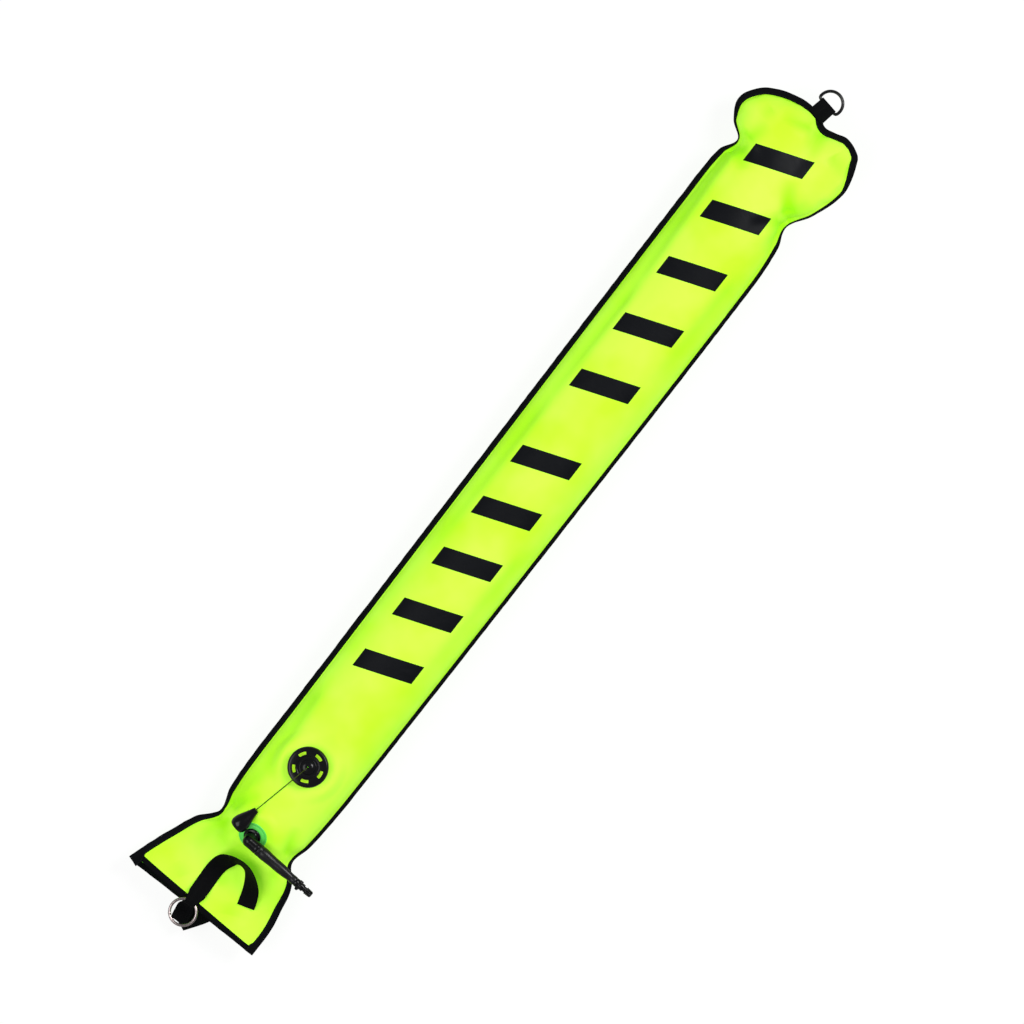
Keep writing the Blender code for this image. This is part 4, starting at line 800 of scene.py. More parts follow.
@dataclass
class Envelope:
    """The inflated nylon tube: two welded panels, their bindings and the inner sleeve."""

    half_length: float = 756 * MM
    skirt_length: float = 144 * MM
    head_length: float = 102 * MM
    neck_slant: float = 60 * MM
    hem_left: float = 133 * MM
    hem_right: float = 104 * MM
    waist_half: float = 69.5 * MM
    body_half: float = 80 * MM
    head_body_half: float = 85 * MM
    neck_half: float = 68.5 * MM
    lobe_half: float = 106.5 * MM
    body_rise: float = 60 * MM
    waist_rise: float = 42 * MM
    head_rise: float = 47 * MM
    mouth_rise: float = 12 * MM
    skirt_droop: float = 20 * MM
    rest_flat: float = 1.5 * MM
    hem_setback: float = 9 * MM
    notch_dip: float = 0.22
    notch_place: float = -23 * MM
    notch_spread: float = 20 * MM
    skin: float = 0.6 * MM
    tape: float = 0.8 * MM
    binding_width: float = 11.5 * MM
    hem_binding_width: float = 7.5 * MM
    row_spacing: float = 3.8 * MM
    head_rows: int = 22         # rows in the head's rounded end
    columns: int = 73
    stations: list[tuple[float, ...]] = field(default_factory=list)

    def __post_init__(self) -> None:
        """Lays out the outline's knots from the sizes."""
        tail = self.tail = -self.half_length
        waist = self.waist = tail + self.skirt_length
        head = self.head = self.half_length
        left_neck = self.left_neck = head - self.head_length
        right_neck = self.right_neck = left_neck - self.neck_slant
        self.seam_half = (self.skin + GAP) / 2
        self.axis_z = self.body_rise + self.seam_half + self.skin / 2 - self.rest_flat
        skirt, body, wide, lobe = self.skirt_length, self.body_half, self.head_body_half, self.lobe_half
        left, right = self.hem_left, self.hem_right
        rise, middle = self.body_rise, 0.5 * (self.body_half + self.head_body_half)
        self.stations = [
            (tail, tail - 5 * MM, left, right, self.mouth_rise, 0, 0),
            (tail + 0.25 * skirt, tail + 0.25 * skirt, left - 12 * MM, right, self.mouth_rise, 0, 0),
            (tail + 0.5 * skirt, tail + 0.5 * skirt, left - 26 * MM, right - 6 * MM,
             self.mouth_rise + 3 * MM, 0, 0),
            (waist - 34 * MM, waist - 32 * MM, left - 43 * MM, right - 16 * MM,
             self.waist_rise - 16 * MM, 12, 24),
            (waist, waist, self.waist_half + 1.3 * MM, self.waist_half - 1.3 * MM, self.waist_rise, 56, 56),
            (waist + 30 * MM, waist + 30 * MM, body - 4 * MM, body - 7 * MM,
             self.waist_rise + 9 * MM, 30, 48),
            (waist + 90 * MM, waist + 90 * MM, body, body - 2.5 * MM, rise - 1 * MM, 22, 45),
            (waist + 180 * MM, waist + 180 * MM, body, body - 0.8 * MM, rise, 22, 45),
            (0.0, 0.0, middle, middle, rise, 22, 45),
            (left_neck - 110 * MM, right_neck - 100 * MM, wide, wide - 1 * MM, rise, 22, 45),
            (left_neck - 30 * MM, right_neck - 34 * MM, wide - 2.5 * MM, wide - 6.5 * MM,
             rise - 5 * MM, 25, 45),
            (left_neck, right_neck, self.neck_half, self.neck_half, self.head_rise + 2 * MM, 70, 70),
            (left_neck + 19 * MM, right_neck + 38 * MM, lobe - 15 * MM, lobe - 16 * MM,
             self.head_rise, 58, 60),
            (left_neck + 48 * MM, right_neck + 92 * MM, lobe, lobe, self.head_rise - 6 * MM, 8, 50),
            (head - 24 * MM, head - 24 * MM, lobe - 14.5 * MM, lobe - 11 * MM, self.head_rise - 8 * MM, 0, 0),
        ]
        edge = [(66 * MM, head - 6 * MM), (27 * MM, head + 4.5 * MM), (-6 * MM, head + 2 * MM),
                (self.notch_place, head - 8.5 * MM), (-41 * MM, head - 6.5 * MM), (-61 * MM, head - 1.5 * MM),
                (-84 * MM, head - 10 * MM)]
        table, end, before = self.stations, self.stations[-1], self.stations[-2]
        self.left_knots = [(s[0], s[2]) for s in table] + [(edge[0][1], edge[0][0])]
        self.left_knots[4] = (waist - 6 * MM, self.waist_half - 2.5 * MM)
        self.right_knots = [(s[1], s[3]) for s in table] + [(edge[-1][1], -edge[-1][0])]
        self.right_knots[4] = (waist - 4 * MM, self.waist_half - 3 * MM)
        self.head_knots = sorted([(end[2], end[0]), (before[2], before[0]), (-end[3], end[1]),
                                  (-before[3], before[1])] + edge)
        self.rise_knots = [(s[0], s[4]) for s in table]
        self.left_tilt = [(s[0], math.radians(s[5])) for s in table]
        self.right_tilt = [(s[1], math.radians(s[6])) for s in table]
        self.rows = self.row_places()

    def middle_z(self, x: float) -> float:
        """Height of the seams' plane: level along the tube, lower in the skirt."""
        return self.axis_z - self.skirt_droop * ease(-x, -(self.waist + 20 * MM), -(self.tail + 60 * MM))

    def side_seam(self, x: float, side: Side) -> Seam:
        """The weld at one place along one side."""
        knots, tilts = (self.left_knots, self.left_tilt) if side > 0 else (self.right_knots, self.right_tilt)
        half = through(knots, x)
        slope = (through(knots, x + 0.5 * MM) - through(knots, x - 0.5 * MM)) / MM
        flat = Vector((-slope, side, 0)).normalized()
        tilt = straight(tilts, x)
        out = flat * math.cos(tilt) - Vector((0, 0, math.sin(tilt)))
        up = flat * math.sin(tilt) + Vector((0, 0, math.cos(tilt)))
        rim = Vector((x, side * half, self.middle_z(x)))
        return Seam(rim - flat * (self.binding_width * math.cos(tilt)), out, up, tilt)

    def head_seam(self, y: float) -> Seam:
        """The weld round the head's end, at one place across."""
        slope = (through(self.head_knots, y + 0.5 * MM) - through(self.head_knots, y - 0.5 * MM)) / MM
        out = Vector((1, -slope, 0)).normalized()
        rim = Vector((through(self.head_knots, y), y, self.axis_z))
        return Seam(rim - out * self.binding_width, out, Vector((0, 0, 1)), 0.0)

    def row_places(self) -> list[Spot]:
        """Left x, right x and the head's rounding for each row of cloth."""
        rows = []
        last = len(self.stations) - 2
        for i, (a, b) in enumerate(zip(self.stations, self.stations[1:])):
            count = max(3, math.ceil(max(b[0] - a[0], b[1] - a[1]) / self.row_spacing))
            count = self.head_rows if i == last else count
            for k in range(count):
                t, turn = k / count, 0.0
                if i == last:
                    turn = t * math.pi / 2
                    t = math.sin(turn)
                rows.append((a[0] + (b[0] - a[0]) * t, a[1] + (b[1] - a[1]) * t, turn))
        rows.append((self.stations[-1][0], self.stations[-1][1], math.pi / 2))
        return rows

    def shares(self, limit: float = 90.0) -> list[float]:
        """Places of the columns across the cloth, from -1 at the left seam to 1 at the right."""
        angles = np.linspace(-limit, limit, self.columns)
        return [float(v) for v in np.sin(np.radians(angles))]

    def welds(self, face: Face) -> tuple[list[Seam], list[Seam]]:
        """The left and the right weld at each row of one panel."""
        starts = [r[0] + (self.setback(r[0]) if face > 0 else 0.0) for r in self.rows]
        rights = [self.side_seam(r[1], Side.RIGHT) for r in self.rows]
        return [self.side_seam(x, Side.LEFT) for x in starts], rights

    def head_welds(self, spread: Sequence[float]) -> list[Seam]:
        """The weld round the head's end at each column."""
        left = self.stations[-1][2]
        width = -self.stations[-1][3] - left
        return [self.head_seam(left + width * (s + 1) / 2) for s in spread]

    def panel_points(self, face: Face, spread: Sequence[float]) -> np.ndarray:
        """The cloth as sewn and inflated, before it creases.

        Args:
            face: the panel.
            spread: places of the columns across it.

        Returns:
            Rows by columns by 3, without the seam allowance.
        """
        lefts, rights = self.welds(face)
        last_left, last_right = lefts[-1].point, rights[-1].point
        ends = [seam.point for seam in self.head_welds(spread)]
        ends[0], ends[-1] = last_left, last_right
        neck, far = self.left_neck - 30 * MM, self.stations[-1][0]
        grid = np.zeros((len(self.rows), len(spread), 3))
        for i, (xl, _, turn) in enumerate(self.rows):
            bow_share = ((xl - neck) / (far - neck)) ** 1.6 if xl > neck else 0.0
            flat = ease(-xl, -self.waist, -(self.tail + 40 * MM))
            crown = through(self.rise_knots, xl) * math.cos(turn)
            for j, share in enumerate(spread):
                v = (share + 1) / 2
                bow = ends[j] - last_left.lerp(last_right, v)
                point = lefts[i].point.lerp(rights[i].point, v) + Vector((bow.x, bow.y, 0)) * bow_share
                rise = crown * max(0.0, 1 - abs(share) ** (2 + 2 * flat)) ** (0.5 + 0.5 * flat)
                valley = math.exp(-((point.y - self.notch_place) / self.notch_spread) ** 2)
                rise *= 1 - self.notch_dip * bow_share * valley
                point.z += face * (self.seam_half + rise)
                grid[i, j] = point
            grid[i, 0] = lefts[i].point + lefts[i].up * face * self.seam_half
            grid[i, -1] = rights[i].point + rights[i].up * face * self.seam_half
        return grid

    def setback(self, x: float) -> float:
        """How far the front rows move towards the head near the left end of the hem."""
        return self.hem_setback * max(0.0, 1 - (x - self.tail) / (0.25 * self.skirt_length))


@dataclass(frozen=True)
class Seat:
    """A round place on the front that a welded fitting holds flat."""

    centre: Vector
    normal: Vector
    inner: float
    outer: float

    def press(self, grid: np.ndarray) -> np.ndarray:
        """Flattens the cloth near the seat.

        Args:
            grid: points of the cloth.

        Returns:
            How free each point still is, from 0 under the fitting to 1 away from it.
        """
        away = grid[..., :2] - np.array(self.centre[:2])
        level = self.centre.z - (away[..., 0] * self.normal.x + away[..., 1] * self.normal.y) / self.normal.z
        t = np.clip((np.linalg.norm(away, axis=-1) - self.inner) / (self.outer - self.inner), 0, 1)
        free = t * t * (3 - 2 * t)
        grid[..., 2] = level + (grid[..., 2] - level) * free
        return free


VALVE_SEAT = Seat(Vector((-0.4845, 0.0025, 0.117324)), Vector((-0.006933, 0, 0.999976)), 40 * MM, 58 * MM)
INFLATOR_SEAT = Seat(Vector((-0.617, 0.005, 0.095167)), Vector((-0.55205, 0, 0.833811)), 28 * MM, 44 * MM)

# Where the photograph shows the cloth folding, seen from above
FRONT_CREASES = (
    Crease((0.606, -0.060), (0.652, -0.030), 5.5 * MM, 9 * MM),
    Crease((0.600, -0.062), (0.644, -0.078), 3.6 * MM, 10 * MM),
    Crease((0.598, -0.064), (0.540, -0.070), 4.2 * MM, 9 * MM),
    Crease((0.594, -0.056), (0.556, -0.022), 3.0 * MM, 9 * MM),
    Crease((0.648, 0.062), (0.618, 0.036), 5.0 * MM, 10 * MM),
    Crease((0.640, 0.068), (0.570, 0.071), 4.4 * MM, 8 * MM),
    Crease((0.660, 0.060), (0.698, 0.052), 3.6 * MM, 10 * MM),
    Crease((0.590, 0.070), (0.340, 0.058), 3.6 * MM, 8 * MM),
    Crease((0.380, 0.059), (0.120, 0.060), 3.0 * MM, 8 * MM),
    Crease((0.160, 0.060), (-0.120, 0.060), 2.6 * MM, 8 * MM),
    Crease((0.738, -0.023), (0.690, -0.032), 3.8 * MM, 10 * MM),
    Crease((0.735, -0.010), (0.722, 0.040), 3.6 * MM, 9 * MM),
    Crease((0.722, -0.058), (0.706, -0.094), 3.0 * MM, 11 * MM),
    Crease((0.722, 0.058), (0.700, 0.066), 2.0 * MM, 9 * MM),
    Crease((0.480, -0.062), (0.280, -0.058), 2.6 * MM, 10 * MM),
    Crease((-0.040, -0.062), (-0.320, -0.054), 1.8 * MM, 9 * MM),
    Crease((-0.380, 0.062), (-0.560, 0.052), 3.4 * MM, 9 * MM),
    Crease((-0.606, 0.058), (-0.560, 0.036), 4.6 * MM, 8 * MM),
    Crease((-0.612, -0.054), (-0.566, -0.040), 4.2 * MM, 8 * MM),
    Crease((-0.604, 0.060), (-0.530, 0.060), 3.0 * MM, 8 * MM),
    Crease((-0.620, 0.056), (-0.662, 0.030), 4.2 * MM, 9 * MM),
    Crease((-0.624, 0.062), (-0.690, 0.066), 2.6 * MM, 9 * MM),
    Crease((-0.650, 0.020), (-0.668, -0.030), 2.6 * MM, 16 * MM),
    Crease((-0.625, -0.056), (-0.668, -0.062), 3.4 * MM, 8 * MM),
    Crease((-0.705, 0.006), (-0.690, -0.010), 2.4 * MM, 8 * MM),
    Crease((-0.735, 0.052), (-0.722, 0.074), 1.6 * MM, 12 * MM),
    Crease((-0.736, -0.040), (-0.716, -0.030), 1.8 * MM, 12 * MM),
)
BACK_CREASES = (
    Crease((0.602, -0.064), (0.660, -0.010), 3.2 * MM, 9 * MM),
    Crease((0.596, -0.062), (0.540, -0.030), 2.2 * MM, 9 * MM),
    Crease((0.652, 0.060), (0.610, 0.010), 2.8 * MM, 9 * MM),
    Crease((0.735, -0.023), (0.640, -0.026), 2.4 * MM, 10 * MM),
    Crease((0.540, 0.060), (0.250, 0.056), 1.1 * MM, 9 * MM),
    Crease((0.100, -0.060), (-0.210, -0.056), 1.0 * MM, 10 * MM),
    Crease((-0.200, 0.060), (-0.480, 0.056), 1.0 * MM, 9 * MM),
    Crease((-0.612, 0.056), (-0.560, 0.020), 2.6 * MM, 8 * MM),
    Crease((-0.612, -0.054), (-0.552, -0.016), 2.6 * MM, 8 * MM),
    Crease((-0.622, 0.040), (-0.690, 0.050), 1.6 * MM, 9 * MM),
)


def crease_depth(grid: np.ndarray, creases: Iterable[Crease]) -> tuple[np.ndarray, np.ndarray]:
    """How far each point of the cloth sinks in its creases, with a low ridge at each side, and how much
    painted shade it gets there.

    Args:
        grid: points of the cloth.
        creases: the soft folds.

    Returns:
        Metres outwards, so that a valley is negative, and how deep in a fold each point lies, from 0 to 1, as
        its share of painted shade.
    """
    depth, fold = np.zeros(grid.shape[:2]), np.zeros(grid.shape[:2])
    for crease in creases:
        start, line = np.array(crease.start), np.array(crease.end) - np.array(crease.start)
        away = grid[..., :2] - start
        t = np.clip((away @ line) / (line @ line), 0, 1)
        off = np.linalg.norm(away - t[..., None] * line, axis=-1) / crease.width
        fade = np.cos(0.5 * np.pi * t) ** 0.7 * np.clip(0.25 + t / 0.12, 0, 1)
        depth -= crease.depth * fade * (np.exp(-off ** 2) - 0.35 * np.exp(-(off - 1.9) ** 2))
        # share of painted shade that each point gets in this crease
        fold += crease.depth / (5 * MM) * fade * np.exp(-(0.8 * off) ** 2)
    return depth, np.clip(fold, 0, 1)


def folded_section(start: float, end: float, inner: float, tape: float, flare: float = 0.0) -> list[Pair]:
    """Section of a tape folded round an edge.

    Args:
        start: where both legs begin, along the cloth towards its edge.
        end: outside of the fold.
        inner: half the space between the legs.
        tape: the tape's thickness.
        flare: how much further inwards both legs begin, over cloth that parts there.

    Returns:
        Closed outline as pairs of along and up.
    """
    outer, deep = inner + tape, end - tape
    lift, first = 0.58 * flare, start - flare
    top = [(first, outer + lift - 0.3 * MM), (first + 0.5 * MM, outer + lift), (start + 0.9 * MM, outer),
           (end - 2.4 * MM, outer), (end - 1.2 * MM, outer * 0.9), (end - 0.35 * MM, outer * 0.6),
           (end, outer * 0.2)]
    inside = [(deep, inner * 0.4), (deep - 0.5 * MM, inner), (start + 0.9 * MM, inner), (first, inner + lift)]
    return (top + [(a, -b) for a, b in reversed(top)]
            + [(a, -b) for a, b in reversed(inside)] + inside)


class EnvelopeMaker:
    """Builds and dresses the envelope's cloth pieces from its sizes."""

    hem_reach = 0.981       # share of the half width at which the hems' tapes end
    air = 2.5               # pressure of the simulation
    slack = 0.06            # how much fuller the cloth is than its welds beside them
    frames = 18             # steps of the simulation
    most = 3.5 * MM         # how far the simulation may move a point
    bed = 0.6 * MM          # space between the pull knob and the cloth under it
    give = 6 * MM           # how far the cloth may sink under the knob
    valve_hole = 25.2 * MM
    inflator_hole = 7.8 * MM
    hem_rows = 90
    sleeve_rows = 48
    sleeve_columns = 40
    sleeve_length = 150 * MM
    sleeve_skin = 0.5 * MM
    sleeve_margin = 12 * MM     # from the side welds to the sleeve's edges
    lip_half = 45 * MM      # half the width of the sleeve's closed lips
    seeds = {Face.FRONT: 11, Face.BACK: 57}

    def __init__(self, sizes: Envelope) -> None:
        """Keeps the sizes and lays out the columns.

        Args:
            sizes: the envelope's measurements.
        """
        self.sizes = sizes
        self.spread = sizes.shares()
        self.panels: dict[Face, np.ndarray] = {}
        # share of painted shade in the creases of each panel
        self.folds: dict[Face, np.ndarray] = {}
        self.cuts: dict[str, Spot] = {}

    def let_air_in(self, piece: bpy.types.Object) -> None:
        """Puts coated cloth under pressure, held at its welds, and lets it come to rest."""
        air = piece.modifiers.new("air", "CLOTH")
        cloth = air.settings
        cloth.quality = 5
        cloth.mass = 0.12
        cloth.tension_stiffness, cloth.compression_stiffness, cloth.shear_stiffness = 30.0, 30.0, 12.0
        cloth.bending_stiffness = 0.3
        cloth.use_pressure = True
        cloth.uniform_pressure_force = self.air
        cloth.shrink_min = 0.0
        cloth.shrink_max = -self.slack
        cloth.vertex_group_shrink = "eased"
        cloth.vertex_group_mass = "welds"
        cloth.effector_weights.gravity = 0.0
        air.collision_settings.use_collision = False
        air.point_cache.frame_start, air.point_cache.frame_end = 1, self.frames
        for frame_number in range(1, self.frames + 1):
            bpy.context.scene.frame_set(frame_number)

    def inflate(self, grid: np.ndarray, free: np.ndarray, near: np.ndarray, face: Face) -> np.ndarray:
        """Lets the cut cloth bulge and pucker under the air's pressure, with its welds held.

        Args:
            grid: points of the cloth.
            free: how free each point is, from 0 at the welds to 1.
            near: how much of the seams' fullness each point gets, from 0 to 1.
            face: the panel.

        Returns:
            The points where the cloth comes to rest, each within a few millimetres of its start.
        """
        piece = woven_grid("inflating_cloth", grid, sheet_map(grid), flip=face < 0)
        welds = piece.vertex_groups.new(name="welds")
        eased = piece.vertex_groups.new(name="eased")
        skirt = np.clip((grid[..., 0] - self.sizes.waist - 10 * MM) / (40 * MM), 0, 1)
        for i, (share, ease_in) in enumerate(zip((free * skirt).ravel(), near.ravel())):
            welds.add([i], 1.0 - float(share), "REPLACE")
            eased.add([i], float(ease_in), "REPLACE")
        self.let_air_in(piece)
        shaped = piece.evaluated_get(bpy.context.evaluated_depsgraph_get()).to_mesh()
        flat = np.empty(len(shaped.vertices) * 3)
        shaped.vertices.foreach_get("co", flat)
        bpy.context.scene.frame_set(1)
        bpy.data.objects.remove(piece, do_unlink=True)
        move = flat.reshape(grid.shape) - grid
        reach = np.linalg.norm(move, axis=-1, keepdims=True)
        move *= np.minimum(1.0, self.most / np.maximum(reach, 1e-9))
        LOG.info("cloth moved %.2f mm at most, %.2f mm on average", reach.max() / MM, reach.mean() / MM)
        return grid + move

    def puckers(self, grid: np.ndarray, edges: tuple[np.ndarray, ...], face: Face) -> np.ndarray:
        """Small waves that the seams pull into the cloth, and its slow unevenness.

        Args:
            grid: points of the cloth.
            edges: how far each point is from the left seam, the right one and the head's.
            face: the panel.

        Returns:
            Metres outwards.
        """
        seed, x, y = self.seeds[face], grid[..., 0], grid[..., 1]
        # The seams pucker most at the waist and the neck, where they turn
        gain = np.interp(x, (-0.76, -0.70, -0.62, -0.55, -0.3, 0.45, 0.6, 0.66, 0.75),
                         (0.15, 0.3, 1.5, 0.8, 0.6, 0.7, 1.7, 1.5, 1.1))
        rise = np.zeros_like(x)
        for k, (away, along) in enumerate(zip(edges, (x, x, y))):
            coarse = ripples(seed + 7 * k, along, 17 * MM) + 0.5 * ripples(seed + 7 * k + 1, along, 7.5 * MM)
            mood = 0.55 + 0.45 * ripples(seed + 7 * k + 2, along, 110 * MM)
            reach = 8 * MM + 3 * MM * ripples(seed + 7 * k + 3, along, 60 * MM)
            rise += 1.0 * MM * gain * mood * coarse * (away / reach) * np.exp(1 - away / reach)
        inside = np.clip(np.minimum(edges[0], edges[1]) / (30 * MM), 0, 1)
        return rise + 0.8 * MM * ripples(seed + 40, x + 0.4 * y, 90 * MM) * inside

    def shaped(self, face: Face) -> np.ndarray:
        """Points of one panel from weld to weld, creased, inflated and pressed down by the fittings."""
        size = self.sizes
        grid = size.panel_points(face, self.spread)
        free = np.ones(grid.shape[:2])
        if face > 0:
            for seat in (VALVE_SEAT, INFLATOR_SEAT):
                free *= seat.press(grid)
        else:
            grid[..., 2] = np.maximum(grid[..., 2], size.skin / 2)
        self.panels[face] = grid.copy()
        normal = np.cross(np.gradient(grid, axis=1), np.gradient(grid, axis=0))
        normal *= face if normal[grid.shape[0] // 2, grid.shape[1] // 2, 2] > 0 else -face
        normal /= np.linalg.norm(normal, axis=-1, keepdims=True)
        left = walked(grid, 1)
        right = left[:, -1:] - left
        end = walked(grid, 0)
        to_head = end[-1:] - end
        rise, self.folds[face] = crease_depth(grid, FRONT_CREASES if face > 0 else BACK_CREASES)
        rise += self.puckers(grid, (left, right, to_head), face)
        inwards = np.minimum(np.minimum(left, right), to_head)
        free *= np.clip(inwards / (2 * MM), 0, 1)
        free *= np.clip(end / (12 * MM), 0, 1)
        if face < 0:
            free *= np.clip((grid[..., 2] - size.skin / 2) / (3 * MM), 0, 1)
        near = np.exp(-(inwards / (20 * MM)) ** 2)
        blown = self.inflate(grid, free, near, face) + normal * (rise * free)[..., None]
        return self.pressed(blown) if face > 0 else blown

    def pressed(self, grid: np.ndarray) -> np.ndarray:
        """Lets the cloth give way under the pull knob, which lies on it."""
        toggle = PullToggle()
        tip, axis = np.array(toggle.tip), np.array(Vector(toggle.axis).normalized())
        along = (grid - tip) @ axis
        share = np.clip(along / toggle.knob_length, 0, 1)
        bell = np.interp(share, (0, 0.28, 0.45, 0.62, 0.76, 1), (0.48, 0.62, 0.8, 0.95, 1.02, 1.02))
        nearest = tip + (share * toggle.knob_length)[..., None] * axis
        side = np.linalg.norm((grid - nearest)[..., :2], axis=-1)
        reach = bell * toggle.knob_radius + self.sizes.skin / 2 + self.bed
        under = nearest[..., 2] - np.sqrt(np.clip(reach ** 2 - side ** 2, 0, None))
        grid[..., 2] -= np.where(side < reach, np.clip(grid[..., 2] - under, 0, self.give), 0)
        return grid

    def with_allowance(self, grid: np.ndarray, face: Face) -> np.ndarray:
        """Adds the strip of cloth beyond the weld, which the binding covers."""
        size = self.sizes
        reach = size.binding_width - size.tape - GAP
        rows = []
        for line, left, right in zip(grid, *size.welds(face)):
            a = left.point + left.up * face * size.seam_half
            b = right.point + right.up * face * size.seam_half
            rows.append([a + left.out * reach, a, *[Vector(p) for p in line[1:-1]], b, b + right.out * reach])
        last = [e.point + e.up * face * size.seam_half + e.out * reach for e in size.head_welds(self.spread)]
        last[0], last[-1] = rows[-1][0], rows[-1][-1]
        rows.append([last[0], *last, last[-1]])
        return np.array([[tuple(p) for p in row] for row in rows])

    def open_holes(self, piece: bpy.types.Object) -> None:
        """Takes out the cloth inside both welded fittings."""
        work = bmesh.new()
        work.from_mesh(piece.data)
        gone = []
        for f in work.faces:
            middle = f.calc_center_median()
            for seat, radius in ((VALVE_SEAT, self.valve_hole), (INFLATOR_SEAT, self.inflator_hole)):
                away = middle - seat.centre
                away -= seat.normal * away.dot(seat.normal)
                if away.length < radius and middle.z > self.sizes.axis_z:
                    gone.append(f)
        bmesh.ops.delete(work, geom=list(set(gone)), context="FACES")
        work.to_mesh(piece.data)
        work.free()

    def panel(self, name: str, face: Face, finish: Finish) -> bpy.types.Object:
        """One panel of cloth with its thickness."""
        grid = self.with_allowance(self.shaped(face), face)
        uv = sheet_map(grid)
        piece = woven_grid(f"{name}_cloth", grid, uv, flip=face < 0)
        length, width = float(uv[..., 0].max()), float(uv[..., 1].max())
        area = sum(p.area for p in piece.data.polygons)
        # the share of painted shade in the creases goes onto the cloth as a point attribute
        marks = np.pad(self.folds[face], ((0, 1), (1, 1)), mode="edge")
        piece.data.attributes.new("fold", "FLOAT", "POINT").data.foreach_set("value", marks.ravel())
        if face > 0:
            self.open_holes(piece)
        mend_sheet(piece)
        thicken(piece, self.sizes.skin)
        hand_over(piece, "buoy", finish, "fabric", name)
        LOG.info("%s flat %.4f x %.4f m, area %.4f m2", name, width, length, area)
        self.cuts[name] = (width, length, area)
        return piece

    def band(self, name: str, seams: Sequence[Seam], seed: int) -> bpy.types.Object:
        """Binding tape over the weld, slightly gathered by its stitches."""
        size = self.sizes
        inner = size.seam_half + size.skin / 2 + GAP
        rows, walk = [], 0.0
        for i, seam in enumerate(seams):
            walk += (seam.point - seams[i - 1].point).length if i else 0.0
            at = np.array([walk])
            pull = float(ripples(seed, at, 9 * MM)[0]) * 0.3 * MM
            puff = 1 + 0.1 * float(ripples(seed + 1, at, 6 * MM)[0])
            start = 0.8 * MM + (inner + size.tape) * math.tan(seam.tilt)
            wide = 7 * MM if seam.point.y > 0 else 3 * MM
            corner = wide * (1 - ease(seam.point.x - size.tail, 4 * MM, 4 * MM + 2 * wide))
            outline = folded_section(start, size.binding_width + pull, inner, size.tape * puff, corner)
            over = Vector((-1.3 * MM if i == 0 else 0.0, 0, 0))
            rows.append([tuple(seam.point + over + seam.out * a + seam.up * b) for a, b in outline])
        return self.tape_piece(name, np.array(rows))

    def tape_piece(self, name: str, points: np.ndarray) -> bpy.types.Object:
        """Makes a tape from its closed sections."""
        piece = woven_grid(f"{name}_tape", points, tube_map(points), closed=True, capped=True)
        mend_normals(piece)
        shade(piece, 45)
        return hand_over(piece, "buoy", BINDING_TAPE, "binding", name)

    def edge_bands(self) -> list[bpy.types.Object]:
        """Both side bindings, which meet under the head tab."""
        size = self.sizes
        tab, left, right = -7 * MM, size.stations[-1][2], -size.stations[-1][3]
        step = 3.4 * MM
        over = [size.head_seam(y) for y in np.arange(left - step, tab + GAP / 2, -step)]
        over.append(size.head_seam(tab + GAP / 2))
        back = [size.head_seam(y) for y in np.arange(right + step, tab - GAP / 2, step)]
        back.append(size.head_seam(tab - GAP / 2))
        lefts, rights = size.welds(Face.BACK)
        return [self.band("edge_binding_left", lefts + over, 101),
                self.band("edge_binding_right", rights + back, 131)]

    def hem_band(self, name: str, face: Face) -> bpy.types.Object:
        """Tape folded over one panel's raw hem."""
        size = self.sizes
        grid = self.panels[face]
        places = np.linspace(-self.hem_reach, self.hem_reach, self.hem_rows)
        edge = np.array([np.interp(places, self.spread, grid[0, :, k]) for k in range(3)]).T
        inside = np.array([np.interp(places, self.spread, grid[5, :, k]) for k in range(3)]).T
        inner = size.skin / 2 + GAP
        rows = []
        for i, (p, q) in enumerate(zip(edge, inside)):
            point = Vector(p)
            along = Vector(edge[min(i + 1, self.hem_rows - 1)] - edge[max(i - 1, 0)])
            out = (point - Vector(q)).normalized()
            up = along.cross(out).normalized()
            out = up.cross(along).normalized()
            pull = float(ripples(77 + face, np.array([i * 2.6 * MM]), 9 * MM)[0]) * 0.25 * MM
            outline = folded_section(-size.hem_binding_width, GAP + size.tape + pull, inner, size.tape)
            rows.append([tuple(point + out * a + up * b) for a, b in outline])
        return self.tape_piece(name, np.array(rows))

    def sleeve(self, name: str, face: Face) -> bpy.types.Object:
        """One flap of the self-sealing sleeve: wide at its entry, closed at its lips."""
        size = self.sizes
        entry = size.waist - 40 * MM
        under = size.skin / 2 + GAP + self.sleeve_skin / 2 + 0.9 * MM
        grid = self.panels[face]
        row = int(np.argmin(np.abs(grid[:, 36, 0] - entry)))
        left0, right0 = (size.side_seam(entry, side).point.y for side in Side)
        wide, centre = (left0 - right0) / 2 - self.sleeve_margin, (left0 + right0) / 2
        rows = []
        for i in range(self.sleeve_rows + 1):
            t = i / self.sleeve_rows
            x = entry + self.sleeve_length * t
            left, right = (size.side_seam(x, side).point.y for side in Side)
            half = (left - right) / 2 - self.sleeve_margin
            half += (self.lip_half - half) * ease(t, 0, 1)
            line = []
            for j in range(self.sleeve_columns + 1):
                s = -math.cos(math.pi * j / self.sleeve_columns)
                y = centre + wide * s
                height = float(np.interp(-y, -grid[row, :, 1], grid[row, :, 2])) - face * under
                opened = height - size.middle_z(entry)
                lip = face * 0.55 * MM * (1 + 0.5 * math.sin(9 * t + 5 * s) * t)
                z = opened + (lip - opened) * ease(t, 0, 1)
                line.append((x, centre * (1 - t) + half * s, size.middle_z(x) + z))
            rows.append(line)
        points = np.array(rows)
        uv = sheet_map(points)
        piece = woven_grid(f"{name}_cloth", points, uv, flip=face > 0)
        thicken(piece, self.sleeve_skin)
        hand_over(piece, "buoy", PLAIN_NYLON, "fabric", name)
        return piece

